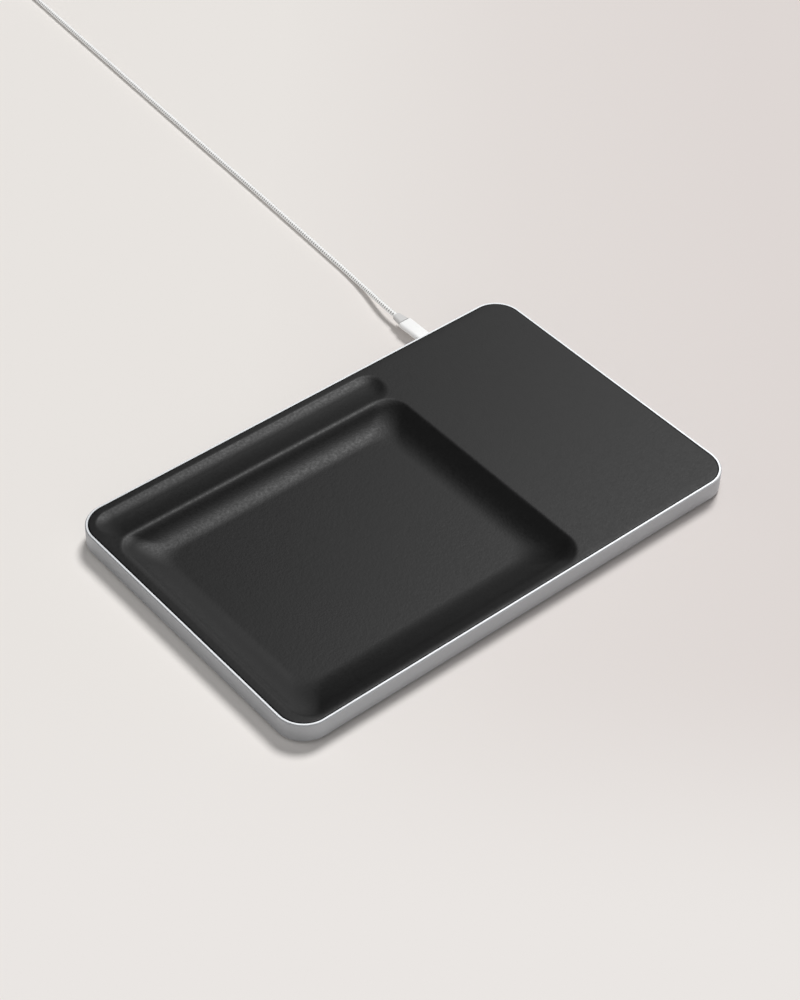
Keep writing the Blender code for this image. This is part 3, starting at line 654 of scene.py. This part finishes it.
def carve(piece, cuts, joins):
    """Joins helpers to the piece and cuts others from it, and keeps only the result."""
    for helper, operation in [(h, "UNION") for h in joins] + [(h, "DIFFERENCE") for h in cuts]:
        step = piece.modifiers.new(helper.name, "BOOLEAN")
        step.operation = operation
        step.solver = "EXACT"
        step.object = helper
    bpy.context.view_layer.update()
    depsgraph = bpy.context.evaluated_depsgraph_get()
    data = bpy.data.meshes.new_from_object(piece.evaluated_get(depsgraph))
    piece.modifiers.clear()
    old = piece.data
    piece.data = data
    bpy.data.meshes.remove(old)
    for helper in (*cuts, *joins):
        bpy.data.objects.remove(helper, do_unlink=True)


def finish_piece(piece, body, finishes, replaced, sharp=32):
    """Shades, paints and declares a piece."""
    piece.data.shade_smooth()
    piece.data.set_sharp_from_angle(angle=math.radians(sharp))
    piece.data.materials.clear()
    for finish in finishes:
        piece.data.materials.append(finish)
    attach(piece, body)
    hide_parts(*replaced)


def paint_nodes(finish, *names):
    """Gives CAD pieces their finish."""
    for name in names:
        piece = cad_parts[name]
        piece.data.materials.clear()
        piece.data.materials.append(finish)


class TRAY_OT_stage(bpy.types.Operator):
    """Camera, pale floor, key lamp and soft surroundings"""

    bl_idname = "tray.stage"
    bl_label = "Stage"

    def execute(self, context):
        settings = context.scene.tray_stage
        self.make_camera(context)
        self.make_floor(settings)
        self.make_key(settings)
        self.make_surroundings(context, settings)
        context.scene.view_settings.view_transform = "Standard"
        return {"FINISHED"}

    def make_camera(self, context):
        """The camera that sees the tray as the photograph does."""
        data = bpy.data.cameras.new("tray_camera")
        data.lens = camera_lens
        data.sensor_width = 36.0
        data.shift_x = camera_shift
        camera = add_object("tray_camera", data)
        turn, lift, roll = (math.radians(part) for part in camera_angles)
        camera.matrix_world = (
            Matrix.Translation(camera_place)
            @ Matrix.Rotation(turn, 4, "Z")
            @ Matrix.Rotation(math.pi / 2 - lift, 4, "X")
            @ Matrix.Rotation(roll, 4, "Z")
        )
        context.scene.camera = camera

    def make_floor(self, settings):
        """Matt painted board, with painted light falloff that makes it a little warmer and darker
        to the right and paler in front.
        """
        shape = bmesh.new()
        bmesh.ops.create_grid(shape, x_segments=8, y_segments=8, size=4.0)
        floor = meshed("floor", shape)
        made, tree, place = start_finish("matt_painted_board")
        # Turned to the camera, its painted light falloff changes the tone across the picture and
        # towards the front.
        rotated = {"Vector": place, "Rotation": (0.0, 0.0, math.radians(41))}
        split = axes(tree, add_node(tree, "Mapping", rotated)[0])
        left, right = settings.left_floor, settings.right_floor
        middle = tuple((a + 2 * b) / 3 for a, b in zip(left, right))
        across = mapped(tree, split["X"], (-0.09, 0.22))
        tone = ramp(tree, across, (0.0, left), (0.5, middle), (1.0, right))
        nearer = mapped(tree, split["Y"], (-0.09, -0.27), interpolation="SMOOTHSTEP")
        mix = {"data_type": "RGBA", 0: nearer, 6: tone, 7: (*settings.front_floor, 1.0)}
        paint = add_node(tree, "Mix", mix)[2]
        end_finish(made, {"Base Color": paint, "Roughness": 1.0, "Specular IOR Level": 0.0})
        floor.data.materials.append(made)

    def make_key(self, settings):
        """A broad lamp, behind the tray and to the right."""
        data = bpy.data.lights.new("key_lamp", "SUN")
        data.energy = settings.key_strength
        data.angle = settings.key_spread
        key = add_object("key_lamp", data)
        turn, lift = (math.radians(part) for part in key_angles)
        key.rotation_euler = (math.pi / 2 - lift, 0.0, math.pi / 2 + turn)

    def make_surroundings(self, context, settings):
        """Light from the left, a card for reflections, and the floor's tone beyond the floor."""
        world = bpy.data.worlds.new("soft_surroundings")
        context.scene.world = world
        world.use_nodes = True
        tree = world.node_tree
        tree.nodes.clear()
        place = add_node(tree, "TexCoord", {})["Generated"]
        leftward = {"operation": "DOT_PRODUCT", 0: place, 1: (-0.92, -0.38, 0.0)}
        facing = add_node(tree, "VectorMath", leftward)["Value"]
        levels = (settings.dark_side, settings.bright_side)
        front = mapped(tree, facing, (-0.15, 0.05), levels, "SMOOTHSTEP")
        stops = [(reach, grey(brightness)) for reach, brightness in card_levels]
        side = ramp(tree, axes(tree, place)["X"], *stops)
        ray = add_node(tree, "LightPath", {})
        card = worked_out(tree, "MULTIPLY", side, ray["Is Glossy Ray"])
        strength = worked_out(tree, "MULTIPLY_ADD", card, card_strength, front)
        white, pale = (*grey(1.0), 1.0), (*settings.left_floor, 1.0)
        soft = add_node(tree, "Background", {"Color": white, "Strength": strength})[0]
        seen = add_node(tree, "Background", {"Color": pale, "Strength": 1.0})[0]
        mixed = add_node(tree, "MixShader", {0: ray["Is Camera Ray"], 1: soft, 2: seen})[0]
        add_node(tree, "OutputWorld", {"Surface": mixed})


def smooth_points(route, step):
    """Points a step apart, or a little less, on a smooth curve through the route's points."""
    route = [Vector(point) for point in route]
    guides = [2 * route[0] - route[1], *route, 2 * route[-1] - route[-2]]
    fine_steps = 40
    dense = [route[0]]
    for before, start, end, after in zip(guides, guides[1:], guides[2:], guides[3:]):
        span = (end - start).length
        pull_in = (end - before) * span / ((start - before).length + span)
        pull_out = (after - start) * span / ((after - end).length + span)
        for index in range(1, fine_steps + 1):
            t = index / fine_steps
            dense.append(
                (2 * t**3 - 3 * t**2 + 1) * start
                + (t**3 - 2 * t**2 + t) * pull_in
                + (3 * t**2 - 2 * t**3) * end
                + (t**3 - t**2) * pull_out
            )
    lengths = np.cumsum([0.0] + [(b - a).length for a, b in zip(dense, dense[1:])])
    wanted = np.linspace(0.0, lengths[-1], math.ceil(lengths[-1] / step) + 1)
    parts = [np.interp(wanted, lengths, part) for part in zip(*dense)]
    return [Vector(point) for point in zip(*parts)]


def coil_points(points_per_turn):
    """The cord's turns: a layer that spirals in, a climb, and a layer that spirals out."""
    middle = coil_turns_per_layer
    points = []
    for index in range(round(2 * middle * points_per_turn) + 1):
        turns = index / points_per_turn
        radius = coil_inner_radius + coil_pitch * abs(turns - middle)
        climb = min(max((turns - middle) * 2 + 0.5, 0.0), 1.0)
        lift = coil_pitch * climb * climb * (3 - 2 * climb)
        angle = math.pi - 2 * math.pi * turns
        points.append(
            coil_centre + Vector((radius * math.cos(angle), radius * math.sin(angle), lift))
        )
    return points


def tube(name, points, radius, sides):
    """A round tube with closed ends, with lengths along and round it in metres as its UV map."""
    shape = bmesh.new()
    layer = shape.loops.layers.uv.new("UVMap")
    heading = (points[1] - points[0]).normalized()
    side = heading.cross(Vector((0.0, 0.0, 1.0))).normalized()
    rings, lengths = [], [0.0]
    for index, point in enumerate(points):
        before, after = points[max(index - 1, 0)], points[min(index + 1, len(points) - 1)]
        heading = (after - before).normalized()
        side = (side - side.dot(heading) * heading).normalized()
        up = side.cross(heading)
        ring = []
        for step in range(sides):
            turn = 2 * math.pi * step / sides
            ring.append(
                shape.verts.new(point + radius * (math.cos(turn) * side + math.sin(turn) * up))
            )
        rings.append(ring)
        if index:
            lengths.append(lengths[-1] + (point - points[index - 1]).length)
    around = 2 * math.pi * radius / sides
    for index, (lower, upper) in enumerate(zip(rings, rings[1:])):
        for step in range(sides):
            after = (step + 1) % sides
            face = shape.faces.new((lower[step], lower[after], upper[after], upper[step]))
            corners = ((index, step), (index, step + 1), (index + 1, step + 1), (index + 1, step))
            for loop, (ring, place) in zip(face.loops, corners):
                loop[layer].uv = (lengths[ring], place * around)
    shape.faces.new(rings[0])
    shape.faces.new(rings[-1])
    bmesh.ops.recalc_face_normals(shape, faces=shape.faces)
    return meshed(name, shape)


def rounded_bar(name, placed, centre, width, height, corner, start, end, edge):
    """A bar with rounded long edges and rolled ends, along the axis that placed sets."""
    rolls = 6
    least_corner = 0.0002
    rings = []
    for along, sign in ((start, 1), (end, -1)):
        part = []
        for step in range(rolls + 1):
            turn = math.pi / 2 * step / rolls
            inset = edge * (1 - math.sin(turn))
            depth = edge * (1 - math.cos(turn))
            round_corner = max(corner - inset, least_corner)
            outline = section(width - 2 * inset, height - 2 * inset, round_corner, centre)
            part.append(placed(outline, along + sign * depth))
        rings += part if sign > 0 else part[::-1]
    return lofted(name, rings)


def tapered_collar(name, placed, centre, start, sign, length, wide, narrow, height, edge):
    """The collar between a housing and the cord, with its rolled end at the cord."""
    steps, flatness = 12, 0.4
    rings = []
    for step in range(steps + 1):
        share = step / steps
        if share < 0.5:
            reach, pull = 2 * share * (length - edge), 0.0
        else:
            turn = (2 * share - 1) * math.pi / 2
            reach = length - edge + edge * math.sin(turn)
            pull = edge * (1 - math.cos(turn))
        width = wide + (narrow - wide) * reach / length - 2 * pull
        outline = oval(width, height - flatness * pull, centre)
        rings.append(placed(outline, start + sign * reach))
    return lofted(name, rings)


class TRAY_OT_plugs(bpy.types.Operator):
    """Plug in the tray's port, the plug at the far end, and the tie round the coil"""

    bl_idname = "tray.plugs"
    bl_label = "Plugs"

    def execute(self, context):
        settings = context.scene.tray_cable
        # ABS, injection-moulded in a polished tool: bright white with a soft gloss.
        white = moulded("moulded_white_abs", settings.housing_colour, 0.30, 0.0009, 0.00001)
        # Thermoplastic elastomer, moulded over the joint: matt pale grey.
        pale = settings.collar_colour
        rubber = moulded("moulded_grey_elastomer", pale, 0.62, 0.0006, 0.00002, 0.35)
        # Nylon hook-and-loop strap: matt black with a coarse nap.
        nap = moulded("napped_nylon_tie", linear("#232324"), 0.85, 0.0007, 0.00020, 0.25)
        far_centre = (tail_route[-1][1], far_plug_axis)
        near_end = near_housing["end"] + fit_gap
        far_end = far_housing["start"] - fit_gap
        for side, node, placed, centre, sizes, end, sign in (
            ("plug", "plug_housing", upright, port_centre, near_housing, near_end, 1),
            ("far", "far_plug_housing", sideways, far_centre, far_housing, far_end, -1),
        ):
            piece = rounded_bar(f"white_{side}_housing", placed, centre, **sizes)
            finish_piece(piece, "cable", [white], [node])
            piece = tapered_collar(f"grey_{side}_collar", placed, centre, end, sign, **collar)
            finish_piece(piece, "cable", [rubber], [f"{side}_collar"])
        steel = nickel_plated_steel(context.scene.tray_inside.steel_colour)
        paint_nodes(steel, "plug_shell", "far_plug_shell")
        paint_nodes(contact_plastic("contact_strip_plastic", "Y", 0.0025), "far_plug_tongue")
        paint_nodes(nap, "cable_tie")
        return {"FINISHED"}


class TRAY_OT_cord(bpy.types.Operator):
    """Braided cord: the stretch along the table, the coil and the tail to the far plug"""

    bl_idname = "tray.cord"
    bl_label = "Cord"

    def execute(self, context):
        lead = smooth_points(lead_route, 0.004)
        tail = smooth_points(tail_route, 0.003)
        path = lead + coil_points(48)[1:] + tail[1:]
        # Each end reaches its collar.
        path[0] -= Vector((0.0, fit_gap, 0.0))
        path[-1] += Vector((fit_gap, 0.0, 0.0))
        cord = tube("braided_cord", path, cord_radius, 18)
        braid = braided_polyester(context.scene.tray_cable)
        replaced = ["cable_lead", "cable_coil", "cable_tail"]
        finish_piece(cord, "cable", [braid], replaced, 60)
        return {"FINISHED"}


class TRAY_OT_body(bpy.types.Operator):
    """Machined aluminium body with its bright rim, port and screw holes"""

    bl_idname = "tray.body"
    bl_label = "Body"

    def execute(self, context):
        settings = context.scene.tray_body
        profile = (
            (mat_inset, mat_ceiling),
            (mat_inset, body_low.z),
            (underside_chamfer, body_low.z),
            (0.0, body_low.z + underside_chamfer),
            (0.0, tray_top - rim_chamfer),
            (rim_chamfer, tray_top),
            (body_wall - inner_edge_chamfer, tray_top),
            (body_wall, tray_top - inner_edge_chamfer),
            (body_wall, body_floor_top),
        )
        steps = settings.corner_steps
        body = stacked("aluminium_tray_body", body_low, body_high, body_corner, steps, profile)
        bosses = [turned("board_boss", place, boss_profile) for place in board_screw_places]
        holes = [turned("board_hole", place, boss_hole_profile) for place in board_screw_places]
        holes += [turned("body_hole", place, body_hole_profile) for place in body_screw_places]
        holes.append(self.make_port())
        carve(body, holes, bosses)
        finishes = [blasted_anodised_aluminium(settings), polished_rim_aluminium()]
        finish_piece(body, "tray", finishes, ["aluminium_body"], 25)
        # The cut rim's faces take the second finish.
        for face in body.data.polygons:
            face.material_index = int(face.center.z > tray_top - rim_chamfer)
        return {"FINISHED"}

    def make_port(self):
        """The port's cutter, flared at the wall's outer face."""
        outer, chamfer = body_high.y, 0.0002
        rings = []
        for flare, y in (
            (0.0, outer - body_wall - overrun),
            (0.0, outer - chamfer),
            (chamfer, outer),
            (chamfer + overrun, outer + overrun),
        ):
            outline = oval(port_width + 2 * flare, port_height + 2 * flare, port_centre)
            rings.append(upright(outline, y))
        return lofted("port_hole", rings)


def distance_to(shape, inset, x, y):
    """Signed distance to the dish's outline at an inset, and the outline's direction there."""
    middle_x, middle_y = (shape["left"] + shape["right"]) / 2, (shape["front"] + shape["back"]) / 2
    half_x, half_y = (shape["right"] - shape["left"]) / 2, (shape["back"] - shape["front"]) / 2
    slant = (shape["floor_corner"] - shape["crest_corner"]) / shape["run"]
    corner = shape["crest_corner"] + slant * inset
    over_x = np.abs(x - middle_x) - (half_x - inset) + corner
    over_y = np.abs(y - middle_y) - (half_y - inset) + corner
    out_x, out_y = np.maximum(over_x, 0.0), np.maximum(over_y, 0.0)
    away = np.hypot(out_x, out_y)
    distance = away + np.minimum(np.maximum(over_x, over_y), 0.0) - corner
    away = np.maximum(away, 1e-9)
    return distance, np.sign(x - middle_x) * out_x / away, np.sign(y - middle_y) * out_y / away


def dish_drop(shape, lips, x, y):
    """How far the leather dips in a dish, whose lips have right, left, front and back radii."""
    distance, _, _ = distance_to(shape, 0.0, x, y)
    low, high = np.zeros_like(x), np.full_like(x, shape["run"])
    for _ in range(30):
        middle = (low + high) / 2
        outside = distance_to(shape, middle, x, y)[0] > 0
        high = np.where(outside, middle, high)
        low = np.where(outside, low, middle)
    inset = np.where(distance > 0, -distance, low)
    _, out_x, out_y = distance_to(shape, np.maximum(inset, 0.0), x, y)
    right, left, front, back = lips
    total = np.maximum(out_x**2 + out_y**2, 1e-9)
    lip = (
        np.maximum(out_x, 0) ** 2 * right
        + np.minimum(out_x, 0) ** 2 * left
        + np.minimum(out_y, 0) ** 2 * front
        + np.maximum(out_y, 0) ** 2 * back
    ) / total
    depth, run = shape["depth"], shape["run"]
    arc = (run**2 + depth**2) / (2 * depth)
    slope = run / math.sqrt(arc**2 - run**2)
    within = np.clip(run - inset, 0.0, run)
    wall = arc - np.sqrt(arc**2 - within**2) + slope * np.maximum(-inset, 0.0)
    blend = np.maximum(lip * slope**2 / 2, 1e-6)
    near = np.maximum(1 - np.abs(wall - depth) / blend, 0.0)
    return depth - (np.minimum(wall, depth) - blend / 4 * near**2)


def onto(lines, place):
    """The place in the plain dish's lines of a place in the leather's own lines."""
    own, plain = (np.array(part) for part in lines)
    own = np.concatenate(([own[0] - 1.0], own, [own[-1] + 1.0]))
    plain = np.concatenate(([plain[0] - 1.0], plain, [plain[-1] + 1.0]))
    return np.interp(place, own, plain)


def stations(start, stretches):
    """Grid lines from a start, through stretches of an end and a spacing."""
    lines = [start]
    for end, spacing in stretches:
        count = max(round((end - lines[-1]) / spacing), 1)
        first = lines[-1]
        lines += [first + (end - first) * (step + 1) / count for step in range(count)]
    return np.array(lines)


class TRAY_OT_leather(bpy.types.Operator):
    """Leather top: flat charging pad, dished recess and soft groove"""

    bl_idname = "tray.leather"
    bl_label = "Leather"

    def execute(self, context):
        settings = context.scene.tray_leather
        half_x, half_y = leather_high.x, leather_high.y
        inner_x, inner_y = half_x - leather_corner, half_y - leather_corner
        edge = settings.edge_radius

        def edged(lines, half):
            """Lines from edge to edge, with more of them on the rounding of each edge."""
            near = half - edge * np.array(edge_shares)
            return np.concatenate(([-half], -near, lines, near[::-1], [half]))

        across = stations(
            -half_x + edge, (*across_stretches, (inner_x, 0.0024), (half_x - edge, 0.0010))
        )
        along = stations(-half_y + edge, (*along_stretches, (half_y - edge, 0.0005)))
        grid_x, grid_y = np.meshgrid(edged(across, half_x), edged(along, half_y))
        over_x, over_y = (
            np.clip((np.abs(grid) - half + leather_corner) / leather_corner, 0, 1)
            for grid, half in ((grid_x, half_x), (grid_y, half_y))
        )

        def bent(grid, inner, own, other):
            """The grid, its four corner squares bent into quarter discs."""
            reach = inner + leather_corner * own * np.sqrt(1 - other**2 / 2)
            return np.where((own > 0) & (other > 0), np.sign(grid) * reach, grid)

        x, y = bent(grid_x, inner_x, over_x, over_y), bent(grid_y, inner_y, over_y, over_x)
        out_x = np.maximum(np.abs(x) - inner_x, 0.0)
        out_y = np.maximum(np.abs(y) - inner_y, 0.0)
        reach = np.where(
            (out_x > 0) & (out_y > 0), np.hypot(out_x, out_y), np.maximum(out_x, out_y)
        )
        inside = np.maximum(leather_corner - reach, 0.0)
        left = settings.left_lip
        recess_lips = (settings.right_lip, left, settings.front_lip, settings.back_lip)
        groove_lips = (
            settings.groove_end_lip, left, settings.groove_front_lip, settings.groove_back_lip
        )
        surface = np.full_like(x, leather_high.z)
        surface -= dish_drop(recess, recess_lips, onto(recess_across, x), onto(recess_along, y))
        surface -= dish_drop(groove, groove_lips, x, onto(groove_along, y))
        roll = np.clip(1 - inside / settings.roll_width, 0, 1)
        surface -= settings.roll_drop * roll**2
        underside = surface - leather_thickness
        within = np.clip(edge - inside, 0, edge)
        surface = surface - (edge - np.sqrt(np.maximum(edge**2 - within**2, 0.0)))
        skin = self.make_skin(x, y, surface, underside)
        finish = fine_grain_leather(settings)
        finish_piece(skin, "tray", [finish], ["leather_top"], 60)
        return {"FINISHED"}

    def make_skin(self, x, y, surface, underside):
        """The closed mesh of the leather, from the heights of its two faces."""
        sheets = [
            np.stack([x.ravel(), y.ravel(), z.ravel()], axis=1) for z in (surface, underside)
        ]
        number = np.arange(x.size).reshape(x.shape)
        a, b = number[:-1, :-1].ravel(), number[:-1, 1:].ravel()
        c, d = number[1:, 1:].ravel(), number[1:, :-1].ravel()
        upper = np.stack([a, b, c, d], axis=1)
        lower = np.stack([d, c, b, a], axis=1) + x.size
        rim = np.concatenate(
            (number[0, :-1], number[:-1, -1], number[-1, :0:-1], number[:0:-1, 0])
        )
        after = np.roll(rim, -1)
        sides = np.stack([rim, rim + x.size, after + x.size, after], axis=1)
        data = bpy.data.meshes.new("leather_skin")
        faces = np.concatenate((upper, lower, sides))
        data.from_pydata(np.concatenate(sheets).tolist(), [], faces.tolist())
        data.validate()
        data.update()
        return add_object("leather_skin", data)


class TRAY_OT_foot_mat(bpy.types.Operator):
    """Silicone mat that the tray stands on"""

    bl_idname = "tray.foot_mat"
    bl_label = "Foot mat"

    def execute(self, context):
        colour = context.scene.tray_inside.mat_colour
        # A shallow step runs round the underside, inside its rounded edge.
        profile = (
            (0.0021, 0.00025),
            (0.0018, 0.0),
            (0.0003, 0.0),
            (0.0001, 0.0001),
            (0.0, 0.0003),
            (0.0, mat_high.z),
        )
        corner = body_corner - mat_inset - fit_gap
        mat = stacked("silicone_foot_mat", mat_low, mat_high, corner, 20, profile)
        # Silicone rubber, moulded in an etched tool: dull dark grey with a fine tooth.
        finish = moulded("moulded_grey_silicone", colour, 0.80, 0.0008, 0.00005, 0.35)
        finish_piece(mat, "tray", [finish], ["foot_mat"])
        return {"FINISHED"}


class TRAY_OT_electronics(bpy.types.Operator):
    """Carrier, bracket, wound coils, ferrite, board and what it carries"""

    bl_idname = "tray.electronics"
    bl_label = "Electronics"

    def execute(self, context):
        settings = context.scene.tray_inside
        copper = enamelled_copper(settings.copper_colour)
        # ABS, moulded: matt black with an even spark-eroded texture.
        black = moulded("moulded_black_abs", settings.carrier_colour, 0.55, 0.0008, 0.00003)
        # Ferrite, pressed and sintered: dull charcoal with a gritty face.
        ferrite = moulded("sintered_ferrite", linear("#34312f"), 0.70, 0.0005, 0.00006, 0.3)
        # Epoxy, transfer-moulded over the chips: matt black.
        epoxy = moulded("moulded_epoxy", linear("#1f1f21"), 0.58, 0.0004, 0.00003)
        # Film capacitors dipped in flame-proof resin: semi-matt ochre.
        resin = moulded("dipped_resin", linear("#a8823c"), 0.42, 0.0016, 0.00006)
        gold = contact_plastic("contact_tongue_plastic", "X", 0.0005)
        for name in ("front", "middle", "back"):
            paint_nodes(copper, f"{name}_coil_lead")
            self.wind_coil(name, copper)
        paint_nodes(black, "inner_carrier", "coil_bracket")
        paint_nodes(ferrite, "ferrite_sheet", "power_inductor")
        paint_nodes(solder_masked_board(settings.board_colour), "main_board")
        paint_nodes(nickel_plated_steel(settings.steel_colour), "receptacle_shell")
        paint_nodes(gold, "receptacle_tongue")
        paint_nodes(epoxy, "controller_chip", "driver_chip")
        paint_nodes(resin, "tuning_capacitor_1", "tuning_capacitor_2")
        return {"FINISHED"}

    def wind_coil(self, name, copper):
        """One flat coil of round wire, wound from its bore to its rim."""
        low, high = box_of(f"{name}_charging_coil")
        middle = (low + high) / 2
        radius, wire = (high.x - low.x) / 2, wire_share * (high.z - low.z) / 2
        bore = bore_share * radius
        pitch, steps = pitch_share * wire, 40
        turns = (radius - bore - 2 * wire) / pitch
        points = []
        for index in range(round(turns * steps) + 1):
            turn = index / steps
            reach = bore + wire + pitch * turn
            angle = 2 * math.pi * turn
            points.append(middle + reach * Vector((math.cos(angle), math.sin(angle), 0.0)))
        coil = tube(f"{name}_wound_coil", points, wire, 8)
        finish_piece(coil, "tray", [copper], [f"{name}_charging_coil"], 60)


class TRAY_OT_screws(bpy.types.Operator):
    """Body, board and bracket screws with hexagon sockets"""

    bl_idname = "tray.screws"
    bl_label = "Screws"

    def execute(self, context):
        steel = nickel_plated_steel(context.scene.tray_inside.steel_colour)
        for kind, count in (("body", 6), ("bracket", 4), ("board", 4)):
            for number in range(1, count + 1):
                node = f"{kind}_screw_{number}"
                screw = self.make_screw(kind, node)
                finish_piece(screw, "tray", [steel], [node])
        return {"FINISHED"}

    def make_screw(self, kind, node):
        """One threaded screw. A body screw's head is a flat cone, the others' are cylinders."""
        low, high = box_of(node)
        centre = ((low.x + high.x) / 2, (low.y + high.y) / 2)
        radius = (high.x - low.x) / 2
        from_top = kind == "board"
        face, tip = (high.z, low.z) if from_top else (low.z, high.z)
        inward = -1 if from_top else 1
        head, shank = screw_sizes[kind]
        steps, edge = 24, 0.0002
        socket = []
        for step in range(steps):
            angle = 2 * math.pi * step / steps
            flat = (angle + math.pi / 6) % (math.pi / 3) - math.pi / 6
            reach = socket_share * radius / math.cos(flat)
            x, y = centre[0] + reach * math.cos(angle), centre[1] + reach * math.sin(angle)
            socket.append((x, y))
        profile = [(radius, 0.0)]
        if kind != "body":
            profile = [(radius - edge, 0.0), (radius, edge), (radius, head)]
        profile.append((shank, head))
        length = abs(tip - face)
        depth = head + thread_pitch
        while depth < length - thread_pitch:
            profile += [(shank, depth), (shank - thread_depth, depth + thread_pitch / 2)]
            depth += thread_pitch
        profile += [(shank, length - edge), (shank - edge, length)]
        rings = [level(socket, face + inward * socket_depth * head), level(socket, face)]
        rings += [
            level(circle(reach, centre, steps), face + inward * along) for reach, along in profile
        ]
        return lofted(f"steel_{node}", rings)


operators = (
    TRAY_OT_stage,
    TRAY_OT_plugs,
    TRAY_OT_cord,
    TRAY_OT_body,
    TRAY_OT_leather,
    TRAY_OT_foot_mat,
    TRAY_OT_electronics,
    TRAY_OT_screws,
)


class TRAY_PT_panel(bpy.types.Panel):
    """Lists the tray's pieces and settings"""

    bl_idname = "TRAY_PT_panel"
    bl_label = "Charging tray"
    bl_space_type = "VIEW_3D"
    bl_region_type = "UI"
    bl_category = "Tray"

    def draw(self, context):
        for operator in operators:
            self.layout.operator(operator.bl_idname)
        for name, group in groups.items():
            box = self.layout.box()
            box.label(text=group.__doc__)
            for setting in group.__annotations__:
                box.prop(getattr(context.scene, name), setting)


classes = (*groups.values(), *operators, TRAY_PT_panel)


def register():
    for item in classes:
        bpy.utils.register_class(item)
    for name, group in groups.items():
        setattr(bpy.types.Scene, name, PointerProperty(type=group))


def unregister():
    for name in groups:
        delattr(bpy.types.Scene, name)
    for item in reversed(classes):
        bpy.utils.unregister_class(item)


def main():
    register()
    for operator in operators:
        family, name = operator.bl_idname.split(".")
        getattr(getattr(bpy.ops, family), name)()
    bpy.context.view_layer.update()


if __name__ == "__main__":
    main()
